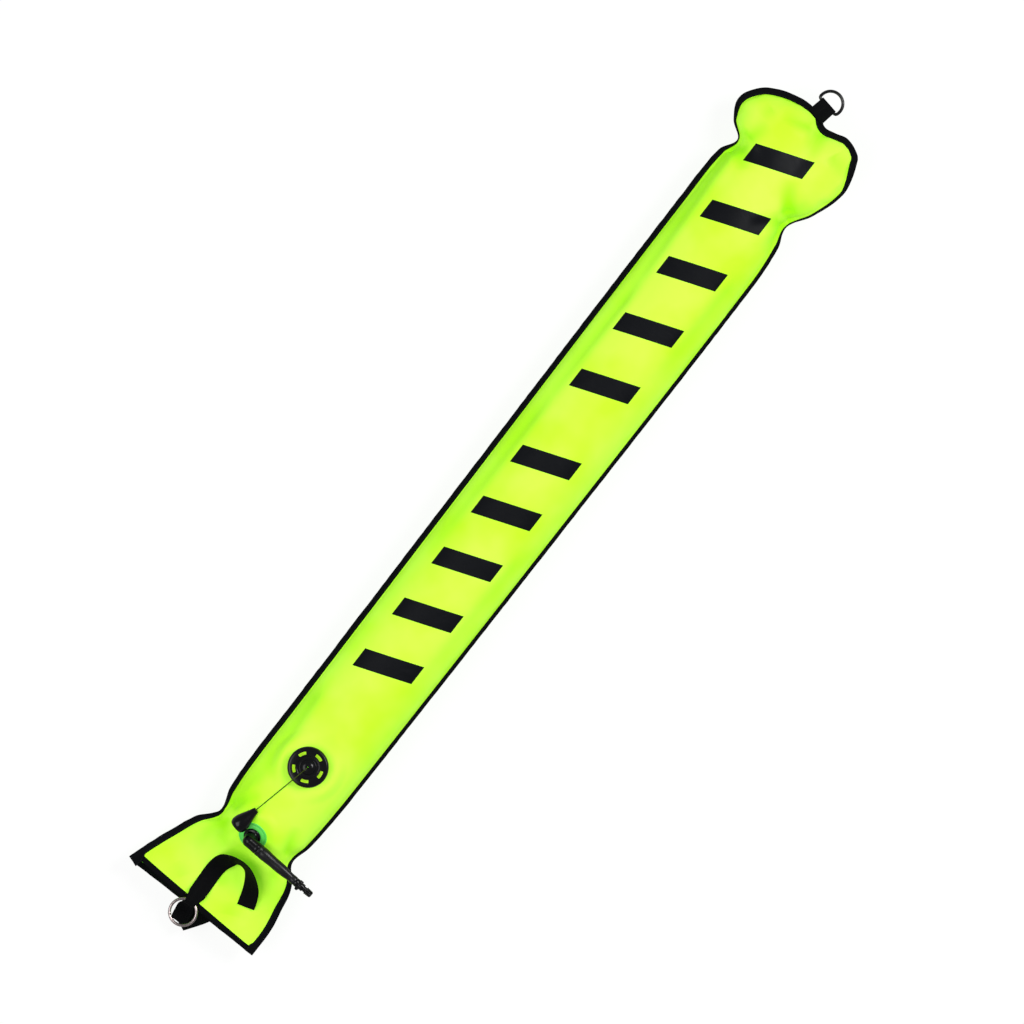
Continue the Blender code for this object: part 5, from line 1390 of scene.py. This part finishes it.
    def build(self) -> None:
        """Panels, bindings and sleeve."""
        front = self.panel("front_panel", Face.FRONT, PRINTED_NYLON)
        back = self.panel("back_panel", Face.BACK, PLAIN_NYLON)
        bands = self.edge_bands()
        front_hem = self.hem_band("front_hem_binding", Face.FRONT)
        back_hem = self.hem_band("back_hem_binding", Face.BACK)
        self.sleeve("duckbill_front", Face.FRONT)
        self.sleeve("duckbill_back", Face.BACK)


# The line's route in metres: up through the cap, over its edge, and down along the cloth into the knob
CORD_ROUTE = (
    (-0.48456, 0.0025, 0.12662), (-0.4846, 0.0025, 0.13162), (-0.48464, 0.0025, 0.13812),
    (-0.4872, 0.00307, 0.14042), (-0.49148, 0.00404, 0.13862), (-0.49633, 0.00513, 0.13532),
    (-0.50413, 0.00689, 0.13412), (-0.51096, 0.00843, 0.13372), (-0.5163, 0.00963, 0.13092),
    (-0.52353, 0.01128, 0.12332), (-0.52938, 0.0126, 0.12048), (-0.53523, 0.01391, 0.11877),
    (-0.54109, 0.01523, 0.11748), (-0.54694, 0.01655, 0.1163), (-0.5528, 0.01786, 0.11512),
    (-0.55865, 0.01918, 0.11392), (-0.5645, 0.0205, 0.11281), (-0.57746, 0.02347, 0.11921),
    (-0.58278, 0.0246, 0.11845), (-0.59451, 0.02709, 0.11677), (-0.60508, 0.02934, 0.11526),
)


def smooth_route(points: Sequence[tuple[float, ...]], parts: int) -> list[Vector]:
    """Points on a smooth curve through a route's own points."""
    knots = [Vector(p) for p in points]
    fine = [blend_knots(knots, i, k / parts) for i in range(len(knots) - 1) for k in range(parts)]
    return fine + [knots[-1]]


@dataclass
class PullToggle:
    """The line out of the dump valve and the bell-shaped knob that pulls it."""

    line: float = 1.6 * MM
    knob_length: float = 42 * MM
    knob_radius: float = 13.3 * MM
    tip_radius: float = 4 * MM
    tip: Spot = (-0.5823, 0.0245, 0.118517)
    axis: Spot = (-0.968709, 0.205906, -0.138584)
    parts: int = 6              # pieces of curve between two points of the route
    corners: int = 12

    def cord(self) -> bpy.types.Object:
        """The braided line as a tube along its route, with a map for its strands."""
        path = smooth_route(CORD_ROUTE, self.parts)
        rows = []
        side = Vector((0, 1, 0))
        for i, centre in enumerate(path):
            ahead = (path[min(i + 1, len(path) - 1)] - path[max(i - 1, 0)]).normalized()
            side = (side - ahead * side.dot(ahead)).normalized()
            up = ahead.cross(side)
            rows.append([tuple(centre + (side * math.cos(a) + up * math.sin(a)) * self.line / 2)
                         for a in (math.tau * k / self.corners for k in range(self.corners))])
        points = np.array(rows)
        piece = woven_grid("pull_line", points, tube_map(points), closed=True, capped=True)
        mend_normals(piece)
        shade(piece, 60)
        hand_over(piece, "buoy", OLIVE_LINE, "cord", "pull_cord")
        self.path = [tuple(p) for p in path]
        self.length = sum((b - a).length for a, b in zip(path, path[1:]))
        return piece

    def knob(self) -> bpy.types.Object:
        """The grip: a slim neck that swells to a bell, turned hollow for the line and its knot."""
        body = [(0.02, 0.36), (0.10, 0.42), (0.28, 0.58), (0.45, 0.77), (0.62, 0.93), (0.76, 1.0),
                (0.88, 0.96), (0.96, 0.82)]
        hole = self.line / 2 + GAP
        profile = [(hole, 0.0), (self.tip_radius, 0.0)]
        for share in np.linspace(0.02, 0.96, 30):
            profile.append((through(body, float(share)) * self.knob_radius, float(share) * self.knob_length))
        long = self.knob_length
        profile += [(self.knob_radius * 0.72, long * 0.985), (self.knob_radius * 0.55, long),
                    (self.tip_radius + 0.6 * MM, long), (self.tip_radius, long - 0.6 * MM),
                    (self.tip_radius, long * 0.6), (hole, long * 0.5)]
        piece = turned("pull_knob_bell", profile, closed=True)
        bevel(piece, 0.5 * MM)
        shade(piece)
        turn = Vector(self.axis).to_track_quat("Z", "Y").to_matrix().to_4x4()
        settle_place(piece, Matrix.Translation(self.tip) @ turn)
        return hand_over(piece, "pull_knob", GLOSS_BLACK, "black_plastic", "pull_knob")

    def build(self) -> None:
        """The line first, then its knob."""
        line, knob = self.cord(), self.knob()


@dataclass
class DumpValve:
    """The slotted cap over its welded fitting, with a sprung poppet inside."""

    radius: float = 31 * MM
    neck: float = 25 * MM
    rim: float = 12 * MM
    height: float = 19.3 * MM
    plate: float = 14.6 * MM
    slots: int = 5
    slot_radius: float = 21.5 * MM
    slot_depth: float = 4.6 * MM
    slot_span: float = math.radians(31)
    slot_turn: float = math.radians(-12)
    line_heading: float = math.radians(166.8)
    rim_flat: float = 1.2 * MM
    coil: float = 6.2 * MM
    wire: float = 0.35 * MM
    coil_foot: float = 7.3 * MM
    coil_head: float = 13 * MM - GAP
    coil_turns: int = 3
    coil_steps: int = 36
    wire_sides: int = 10
    lift: float = 3 * MM

    def place(self) -> Matrix:
        """Where the valve stands on the cloth's outer face."""
        return upright(Vector((-0.484502, 0.0025, 0.117624)), VALVE_SEAT.normal)

    def slot_cutter(self, index: int) -> bpy.types.Object:
        """A curved block with rounded ends, spun part of the way round."""
        low, high = self.slot_radius - self.slot_depth / 2, self.slot_radius + self.slot_depth / 2
        floor, top = 8 * MM, 26 * MM
        piece = turned(f"slot_{index}", [(low, floor), (high, floor), (high, top), (low, top)], 12, True,
                       self.slot_span)
        bevel(piece, 2.2 * MM, 4, 60)
        turn = self.slot_turn + index * math.tau / self.slots - self.slot_span / 2
        settle_place(piece, Matrix.Rotation(turn, 4, "Z"))
        return piece

    def cap(self) -> bpy.types.Object:
        """The moulded cap: rim, shoulder, slotted plate, shallow groove and dome."""
        hole, stem = 1.1 * MM, 2.2 * MM
        under, foot = 13 * MM, 1.8 * MM
        edge, plate, high = self.radius, self.plate, self.height
        profile = [(self.neck + GAP, foot), (edge - 0.5 * MM, foot), (edge, foot + 0.8 * MM),
                   (edge, 7.2 * MM), (edge - 0.5 * MM, 7.6 * MM), (edge - 0.5 * MM, 8.2 * MM),
                   (edge, 8.6 * MM), (edge, self.rim - 1 * MM), (edge - 0.9 * MM, self.rim + 0.7 * MM),
                   (edge - 2.2 * MM, plate - 0.5 * MM), (edge - 4 * MM, plate), (17.2 * MM, plate),
                   (16.2 * MM, plate - 0.7 * MM), (12.4 * MM, plate - 0.7 * MM), (11 * MM, plate + 0.4 * MM),
                   (10 * MM, plate + 1.9 * MM), (8.4 * MM, high - 1.5 * MM), (6.6 * MM, high - 0.6 * MM),
                   (4.4 * MM, high - 0.1 * MM), (hole + 0.9 * MM, high), (hole, high - 0.7 * MM),
                   (hole, high - 2 * MM), (stem + GAP, high - 2 * MM), (stem + GAP, under - 1.6 * MM),
                   (stem + 2 * MM, under - 1.6 * MM), (stem + 2 * MM, under), (self.neck - 3 * MM, under),
                   (self.neck + GAP, 11 * MM)]
        piece = turned("dump_valve_cap_moulded", profile, 120, closed=True)
        bevel(piece, 0.45 * MM, 3)
        for i in range(self.slots):
            cut(piece, self.slot_cutter(i))
        flat = Vector((math.cos(self.line_heading), math.sin(self.line_heading)))
        for v in piece.data.vertices:
            over = v.co.xy.dot(flat) - (self.radius - self.rim_flat)
            if over > 0 and v.co.z > 5 * MM:
                v.co.x -= flat.x * over
                v.co.y -= flat.y * over
        shade(piece, 32)
        settle_place(piece, self.place())
        return hand_over(piece, "buoy", GLOSS_BLACK, "black_plastic", "dump_valve_cap")

    def spring(self) -> bpy.types.Object:
        """The coil under the cap: a ring of wire wound upwards, drawn at its resting length; the real one
        shortens as the poppet lifts.
        """
        low = self.coil_foot + self.wire
        rise = self.coil_head - self.wire - low
        turns = [math.tau * i / self.wire_sides for i in range(self.wire_sides + 1)]
        piece = draw_profile("dump_valve_coil", [(self.coil + self.wire * math.cos(turn),
                                                  low + self.wire * math.sin(turn)) for turn in turns])
        mend_normals(piece)
        winding = piece.modifiers.new("winding", "SCREW")
        winding.steps = winding.render_steps = self.coil_steps
        winding.iterations = self.coil_turns
        winding.screw_offset = rise / self.coil_turns
        apply_modifiers(piece)
        with editing():
            bpy.ops.mesh.fill_holes(sides=len(turns))
        mend_normals(piece)
        shade(piece, 40)
        settle_place(piece, self.place())
        hand_over(piece, "buoy", SPRING_STEEL, "spring_steel", "dump_valve_spring")
        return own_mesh(piece)

    def build(self) -> None:
        """The cap and the spring, and better finishes on the fittings under them."""
        self.cap()
        self.spring()
        repaint("dump_valve_flange", YELLOW_FILM)
        repaint("dump_valve_gasket", HOSE_RUBBER)
        repaint("dump_valve_poppet", GLOSS_BLACK)
        repaint("dump_valve_seal", SEAL_SILICONE)


@dataclass
class OralInflator:
    """Welded patch, elbow, tapered hose, barrel, lock ring and sprung mouthpiece."""

    arm_height: float = 17 * MM
    arm_yaw: float = math.radians(-94)
    arm_radius: float = 9.6 * MM
    boss_radius: float = 10 * MM
    collar_radius: float = 13.5 * MM
    patch_radius: float = 22.5 * MM
    spigot: float = 5.8 * MM
    hose_start: float = 18 * MM
    hose_end: float = 92 * MM
    tip_radius: float = 6.6 * MM
    barrel_end: float = 108 * MM
    mouth_tip: float = 124 * MM
    plug: float = 4.4 * MM
    slide: float = 4.3 * MM
    bore: float = 2.6 * MM
    voxel: float = 0.42 * MM
    knurls: int = 30
    knurl_floor: float = 0.955      # radius between two knurls, as a share of the ring's own

    def seat(self) -> Matrix:
        """The patch's place on the cloth."""
        return upright(Vector((-0.617166, 0.005, 0.095417)), INFLATOR_SEAT.normal)

    def arm(self) -> Matrix:
        """The hose's axis: local Z runs from the elbow to the mouthpiece."""
        raised = self.seat() @ Matrix.Translation((0, 0, self.arm_height))
        return raised @ Matrix.Rotation(self.arm_yaw, 4, "Z") @ Matrix.Rotation(math.pi / 2, 4, "Y")

    def patch(self) -> None:
        """The welded disc under the elbow, with a raised rim and a socket."""
        r, thick = self.patch_radius, 1.2 * MM
        bore, tube = self.spigot + GAP, self.spigot + GAP + 1.5 * MM
        top, groove = GAP + thick, GAP + 0.7 * thick
        profile = [(bore, -7 * MM), (tube, -7 * MM), (tube, GAP), (r, GAP), (r, GAP + 0.5 * thick),
                   (r - 0.8 * MM, top), (r - 2.2 * MM, top), (r - 2.8 * MM, groove), (r - 4 * MM, groove),
                   (r - 4.8 * MM, top), (bore, top)]
        piece = turned("inflator_patch", profile, 96, closed=True)
        bevel(piece, 0.25 * MM, 2)
        shade(piece)
        settle_place(piece, self.seat())
        hand_over(piece, "buoy", GREEN_FILM, "green_patch", "inflator_flange")

    def elbow(self) -> None:
        """Boss and arm moulded in one, with a fillet where they meet."""
        r, h, base = self.boss_radius, self.arm_height, 1.8 * MM
        collar = self.collar_radius
        boss = [(0, -6 * MM), (self.spigot, -6 * MM), (self.spigot, base), (collar - 0.6 * MM, base),
                (collar, base + 0.6 * MM), (collar, base + 2.4 * MM), (collar - 1 * MM, base + 3.4 * MM),
                (r + 0.4 * MM, base + 4 * MM), (r - 0.5 * MM, base + 5 * MM), (r - 0.7 * MM, h),
                (r - 1.4 * MM, h + 3.4 * MM), (r - 2.6 * MM, h + 6 * MM), (r - 5 * MM, h + 8.2 * MM),
                (0, h + 9 * MM)]
        piece = turned("elbow_boss", boss, 72)
        settle_place(piece, self.seat())
        a, s = self.arm_radius, self.hose_start
        arm = [(0, -9 * MM), (5 * MM, -8 * MM), (8 * MM, -5 * MM), (a - 0.3 * MM, -1 * MM),
               (a - 0.3 * MM, s - 4 * MM), (a, s - 3.4 * MM), (a, s - GAP), (self.spigot - 0.6 * MM, s - GAP),
               (self.spigot - 0.6 * MM, s + 12 * MM), (0, s + 12 * MM)]
        branch = turned("elbow_branch", arm, 72)
        settle_place(branch, self.arm())
        activate(piece)
        branch.select_set(True)
        bpy.ops.object.join()
        weld = piece.modifiers.new("moulded in one", "REMESH")
        weld.mode = "VOXEL"
        weld.voxel_size = self.voxel
        soft = piece.modifiers.new("fillet", "SMOOTH")
        soft.factor = 0.5
        soft.iterations = 5
        apply_modifiers(piece)
        piece.name = "inflator_elbow_moulded"
        shade(piece, 80)
        hand_over(piece, "inflator", GLOSS_BLACK, "black_plastic", "inflator_elbow")

    def hose(self) -> None:
        """The tapered rubber hose with its collar and a rolled tip."""
        bore, plug, a = self.spigot + GAP, self.plug, self.arm_radius
        s, e = self.hose_start, self.hose_end
        outside = [(s, a - 0.6 * MM), (s + 1 * MM, a), (s + 5 * MM, a), (s + 5.6 * MM, a - 0.6 * MM),
                   (s + 7 * MM, a - 0.6 * MM), (s + 7.6 * MM, a - 0.1 * MM), (s + 14 * MM, a - 0.1 * MM)]
        taper = [(s + 14 * MM, a - 0.1 * MM), (s + 30 * MM, a - 1.1 * MM), (s + 46 * MM, 8.4 * MM),
                 (e - 9 * MM, self.tip_radius), (e - 6 * MM, self.tip_radius)]
        outside += [(float(z), through(taper, float(z))) for z in np.linspace(s + 16 * MM, e - 6 * MM, 16)]
        outside += [(e - 5 * MM, self.tip_radius + 0.25 * MM), (e - 0.6 * MM, self.tip_radius + 0.25 * MM),
                    (e, self.tip_radius - 0.3 * MM)]
        profile = [(bore, s)] + [(r, z) for z, r in outside]
        profile += [(plug + GAP, e), (plug + GAP, e - 14 * MM), (4 * MM, e - 16 * MM), (4 * MM, s + 20 * MM),
                    (bore, s + 17 * MM)]
        piece = turned("inflator_hose_rubber", profile, 72, closed=True)
        bevel(piece, 0.3 * MM, 2, 25)
        shade(piece)
        settle_place(piece, self.arm())
        hand_over(piece, "inflator", HOSE_RUBBER, "rubber", "inflator_hose")

    def barrel(self) -> None:
        """The rigid sleeve that the mouthpiece slides in."""
        plug, bore, socket, r = self.plug, self.bore, self.slide + GAP, self.tip_radius
        e, end = self.hose_end, self.barrel_end
        profile = [(bore, e - 12 * MM), (plug, e - 12 * MM), (plug, e + GAP), (r, e + GAP), (r, e + 5 * MM),
                   (r - 0.8 * MM, e + 5 * MM), (r - 0.8 * MM, end), (socket, end), (socket, e + 1 * MM),
                   (bore, e + 1 * MM)]
        piece = turned("inflator_barrel_moulded", profile, 64, closed=True)
        bevel(piece, 0.25 * MM, 2)
        shade(piece)
        settle_place(piece, self.arm())
        hand_over(piece, "inflator", GLOSS_BLACK, "black_plastic", "inflator_barrel")

    def lock_ring(self) -> None:
        """The knurled ring with one lug, which is turned to lock the mouthpiece."""
        e, r = self.hose_end, self.tip_radius
        inside = r - 0.8 * MM + GAP
        profile = [(inside, e + 5.3 * MM), (r + 0.8 * MM, e + 5.3 * MM), (r + 1 * MM, e + 5.6 * MM),
                   (r + 1 * MM, e + 10.7 * MM), (r + 0.8 * MM, e + 11 * MM), (inside, e + 11 * MM)]
        piece = turned("lock_ring_knurled", profile, 60, closed=True)
        for v in piece.data.vertices:
            spoke = math.atan2(v.co.y, v.co.x) / math.tau * self.knurls
            if v.co.xy.length > r and abs(spoke - round(spoke)) > 0.25:
                v.co.x *= self.knurl_floor
                v.co.y *= self.knurl_floor
        deselect()
        bpy.ops.mesh.primitive_cube_add(size=1.0, location=(0, -r - 1.6 * MM, e + 8.2 * MM))
        lug = bpy.context.object
        lug.scale = (5 * MM, 4 * MM, 4.5 * MM)
        bpy.ops.object.transform_apply(location=True, rotation=True, scale=True)
        with editing():
            bpy.ops.mesh.bevel(offset=0.8 * MM, segments=3, affect="EDGES")
        cut(piece, lug, "UNION")
        shade(piece, 30)
        settle_place(piece, self.arm())
        hand_over(piece, "lock_ring", GLOSS_BLACK, "black_plastic", "lock_ring")

    def mouthpiece(self) -> None:
        """The ribbed tip that the diver bites and pushes in."""
        slide, bore, tip = self.slide, self.bore, self.mouth_tip
        lip = self.barrel_end + 4.6 * MM
        face = self.hose_end + 5.3 * MM
        profile = [(bore, face + 3 * MM), (slide, face + 3 * MM), (slide, lip), (5.7 * MM, lip + 0.3 * MM),
                   (5.9 * MM, lip + 0.7 * MM), (5.9 * MM, lip + 1.5 * MM), (5.6 * MM, lip + 1.9 * MM)]
        for i in range(3):
            rib, size = lip + (2.6 + 2.6 * i) * MM, (5.7 - 0.2 * i) * MM
            profile += [(4.9 * MM, rib), (size - 0.2 * MM, rib + 0.6 * MM), (size, rib + 1 * MM),
                        (size, rib + 1.5 * MM), (size - 0.3 * MM, rib + 1.9 * MM)]
        profile += [(4.7 * MM, tip - 1.4 * MM), (4.3 * MM, tip - 0.5 * MM), (3.5 * MM, tip), (bore, tip)]
        piece = turned("mouthpiece_moulded", profile, 64, closed=True)
        shade(piece, 40)
        settle_place(piece, self.arm())
        hand_over(piece, "mouthpiece", GLOSS_BLACK, "black_plastic", "mouthpiece")
        repaint("mouthpiece_seal", SEAL_SILICONE)

    def build(self) -> None:
        """From the patch to the mouthpiece."""
        self.patch()
        self.elbow()
        self.hose()
        self.barrel()
        self.lock_ring()
        self.mouthpiece()


# The strap's arch in millimetres, from its sewn end: centre, and its bank in degrees
ARCH = (
    (-710, -51.9, 52.91, 0), (-699, -48.5, 55.82, 8), (-687.6, -44.1, 62.14, 26), (-678, -38.5, 71.11, 45),
    (-669.5, -31, 78.9, 60), (-663.5, -22.5, 83.98, 70), (-660.7, -12, 86.12, 74), (-661.5, -2, 85.78, 73),
    (-665.5, 7, 83.19, 60), (-672.5, 14, 75.65, 38), (-682, 18, 64.95, 18), (-693, 19.4, 57.64, 5),
    (-704, 19.4, 54.54, 0), (-716, 18.8, 53.79, 0),
)
# Its loop through the ring and back to the rear hem: centre, heading in degrees, and width
LOOP = (
    (-737, 18, 58.71, 0, 27.2), (-746, 18, 60.71, 0, 23.2), (-753, 18, 61.11, 0, 18.8),
    (-755.8, 18, 60.36, 0, 17.5), (-757.85, 18, 58.31, 0, 16), (-758.6, 18, 55.51, 0, 16),
    (-761.1, 18.7, 44.51, 0, 21.5), (-767.6, 18.5, 34.2, 2.87, 27.5), (-780.6, 16.5, 30.2, 5.74, 27.5),
    (-788, 15, 27.5, -4.59, 27.5), (-790.6, 13.5, 24, -14.12, 27.5), (-788, 11.2, 20.5, -24.83, 27.5),
    (-779, 4.8, 19.6, -33.37, 27.5), (-768.6, -2.5, 21.7, -34.07, 27.2), (-757.6, -9.8, 23.7, -23.58, 26.2),
    (-746.6, -14, 23.9, -10.37, 25.5), (-732.6, -15, 23.9, -6, 25.5),
)


def band_section(width: float, thick: float) -> list[Pair]:
    """Outline of webbing: across and up, with thicker rounded selvedges."""
    w, h = width / 2, thick / 2
    top = [(w, h * 0.2), (w - 0.25 * MM, h * 0.8), (w - 0.8 * MM, h), (w - 1.8 * MM, h * 0.86)]
    top += [(w * s, h * 0.86) for s in (0.6, 0.3, 0.0, -0.3, -0.6)]
    top += [(-a, b) for a, b in reversed(top[:4])]
    return top + [(a, -b) for a, b in reversed(top)]


def webbing_map(walk: float, outline: Sequence[Pair], width: float) -> list[Pair]:
    """Map of one closed row of webbing, whose weave keeps its count where the band narrows."""
    row = [(walk, a / width * WEB_WIDTH + WEB_WIDTH / 2) for a, _ in outline]
    return row + [row[0]]


def webbing_piece(node: str, rows: Sequence[Sequence[Spot]], maps: Sequence[Sequence[Pair]],
                  place: Matrix) -> bpy.types.Object:
    """Makes a band of webbing and hands it over.

    Args:
        node: the frame's node that it stands for.
        rows: closed sections along the band.
        maps: the map of each section.
        place: where the band's own frame lies.

    Returns:
        The piece.
    """
    piece = woven_grid(f"{node}_webbing", np.array(rows), np.array(maps), closed=True, capped=True)
    mend_normals(piece)
    shade(piece, 50)
    settle_place(piece, place)
    return hand_over(piece, "buoy", WEBBING, "webbing", node)


@dataclass
class TailHandle:
    """The webbing handle at the skirt and the steel ring that hangs on it."""

    webbing: float = 1.5 * MM
    ring_centre: Spot = (-0.7732, 0.018, 0.055514)
    ring_radius: float = 20.2 * MM
    wire: float = 2.25 * MM
    parts: int = 7              # pieces of curve between two knots of the strap
    weld_turn: float = 2.3      # where the ring's weld lies, in radians
    weld_width: float = 1.2 * MM
    weld_swell: float = 0.12

    def knots(self) -> list[tuple[Vector, Vector, float]]:
        """Centre, direction across and width of the strap at each of its knots."""
        made = []
        for i, (x, y, z, bank) in enumerate(ARCH):
            before, after = ARCH[max(i - 1, 0)], ARCH[min(i + 1, len(ARCH) - 1)]
            level = Vector((after[1] - before[1], before[0] - after[0], 0)).normalized()
            across = level * math.cos(math.radians(bank)) + Vector((0, 0, math.sin(math.radians(bank))))
            made.append((Vector((x, y, z)) * MM, across, WEB_WIDTH))
        for x, y, z, heading, width in LOOP:
            turn = math.radians(heading)
            made.append((Vector((x, y, z)) * MM, Vector((-math.sin(turn), math.cos(turn), 0)), width * MM))
        return made

    def strap(self) -> None:
        """One band of webbing from its sewn end to the rear hem, square to its route."""
        knots = self.knots()
        centres = [knot[0] for knot in knots]
        fine = []
        for i, (a, b) in enumerate(zip(knots, knots[1:])):
            for k in range(self.parts):
                t = k / self.parts
                width = a[2] + (b[2] - a[2]) * ease(t, 0, 1)
                fine.append((blend_knots(centres, i, t), a[1].lerp(b[1], t), width))
        fine.append(knots[-1])
        rows, maps, walk = [], [], 0.0
        for i, (centre, across, width) in enumerate(fine):
            ahead = (fine[min(i + 1, len(fine) - 1)][0] - fine[max(i - 1, 0)][0]).normalized()
            across = (across - ahead * across.dot(ahead)).normalized()
            normal = across.cross(ahead).normalized()
            walk += (centre - fine[i - 1][0]).length if i else 0.0
            outline = band_section(width, self.webbing)
            rows.append([tuple(centre + across * a + normal * b) for a, b in outline])
            maps.append(webbing_map(walk, outline, width))
        webbing_piece("tail_strap", rows, maps, Matrix())

    def ring(self) -> None:
        """A welded ring of bright rod."""
        deselect()
        bpy.ops.mesh.primitive_torus_add(location=(0, 0, 0), major_segments=120, minor_segments=24,
                                         major_radius=self.ring_radius, minor_radius=self.wire)
        piece = bpy.context.object
        piece.name = "tail_ring_rod"
        for v in piece.data.vertices:
            turn = math.atan2(v.co.y, v.co.x)
            near = math.exp(-((turn - self.weld_turn) * self.ring_radius / self.weld_width) ** 2)
            core = Vector((math.cos(turn), math.sin(turn), 0)) * self.ring_radius
            v.co = core + (v.co - core) * (1 + self.weld_swell * near)
        shade(piece, 60)
        settle_place(piece, Matrix.Translation(self.ring_centre))
        hand_over(piece, "tail_ring", BRIGHT_STEEL, "steel", "tail_ring")

    def build(self) -> None:
        """Strap and ring."""
        self.strap()
        self.ring()


@dataclass
class HeadRing:
    """The folded tab at the head and the D-ring on its bar."""

    bar: Spot = (0.77444, -0.007, 0.05925)
    yaw: float = math.radians(-11)
    radius: float = 18.6 * MM
    drop: float = 6 * MM
    wire: float = 2.4 * MM
    corner: float = 4 * MM
    webbing: float = 1.5 * MM
    bar_out: float = 15.5 * MM
    overlap: float = 9 * MM
    at_seam: float = 30 * MM
    at_bar: float = 28.6 * MM
    leg_in: float = 2.15 * MM

    def place(self) -> Matrix:
        """The bar's middle, with local X out of the head."""
        return Matrix.Translation(self.bar) @ Matrix.Rotation(self.yaw, 4, "Z")

    def ring(self) -> None:
        """A rod bent round a D: spun round its bow and corners and drawn along its bar."""
        reach = self.radius - self.corner
        side = math.sqrt(reach ** 2 - (self.corner - self.drop) ** 2)
        turn = math.atan2(side, self.corner - self.drop)
        start = Vector((self.drop + self.radius * math.cos(-turn), self.radius * math.sin(-turn), 0))
        deselect()
        bpy.ops.mesh.primitive_circle_add(vertices=24, radius=self.wire, location=start,
                                          rotation=(math.pi / 2, 0, -turn))
        piece = bpy.context.object
        piece.name = "head_ring_rod"
        bpy.ops.object.transform_apply(location=True, rotation=True, scale=True)
        with editing():
            bpy.ops.mesh.spin(steps=72, angle=2 * turn, center=(self.drop, 0, 0), axis=SPIN_LEFT)
            bpy.ops.mesh.spin(steps=12, angle=math.pi - turn, center=(self.corner, side, 0), axis=SPIN_LEFT)
            bpy.ops.mesh.extrude_region_move(TRANSFORM_OT_translate={"value": (0, -2 * side, 0)})
            bpy.ops.mesh.spin(steps=12, angle=math.pi - turn, center=(self.corner, -side, 0), axis=SPIN_LEFT)
        mend_normals(piece, 0.02 * MM)
        shade(piece, 60)
        settle_place(piece, self.place())
        hand_over(piece, "head_d_ring", BLACK_WIRE, "black_metal", "head_d_ring")

    def tab(self) -> None:
        """Webbing folded round the bar, with both legs sewn over the binding."""
        grip = self.wire + GAP
        back, bend = -self.bar_out - self.overlap, -self.bar_out + 2 * MM
        middle = grip + self.webbing / 2
        leg = [(a, self.leg_in + self.webbing / 2) for a in (bend, 0.5 * (back + bend), back)]
        line = [(a, -b) for a, b in reversed(leg)]
        line += [(middle * math.cos(math.radians(d)), middle * math.sin(math.radians(d)))
                 for d in range(-90, 91, 9)]
        line += leg
        rows, maps, walk = [], [], 0.0
        for i, (a, b) in enumerate(line):
            before, after = line[max(i - 1, 0)], line[min(i + 1, len(line) - 1)]
            ahead = Vector((after[0] - before[0], 0, after[1] - before[1])).normalized()
            normal = Vector((-ahead.z, 0, ahead.x))
            walk += math.dist(line[i - 1], (a, b)) if i else 0.0
            width = self.at_seam + (self.at_bar - self.at_seam) * (a - back) / (middle - back)
            outline = band_section(width, self.webbing)
            rows.append([(a + normal.x * h, w, b + normal.z * h) for w, h in outline])
            maps.append(webbing_map(walk, outline, width))
        webbing_piece("head_tab", rows, maps, self.place())

    def build(self) -> None:
        """Tab and ring."""
        self.tab()
        self.ring()


def main() -> None:
    """Builds the sub-assemblies in order and reports each piece."""
    logging.basicConfig(level=logging.INFO, format="%(name)s: %(message)s")
    Studio().build()
    PullToggle().build()
    EnvelopeMaker(Envelope()).build()
    DumpValve().build()
    OralInflator().build()
    TailHandle().build()
    HeadRing().build()


if __name__ == "__main__":
    main()
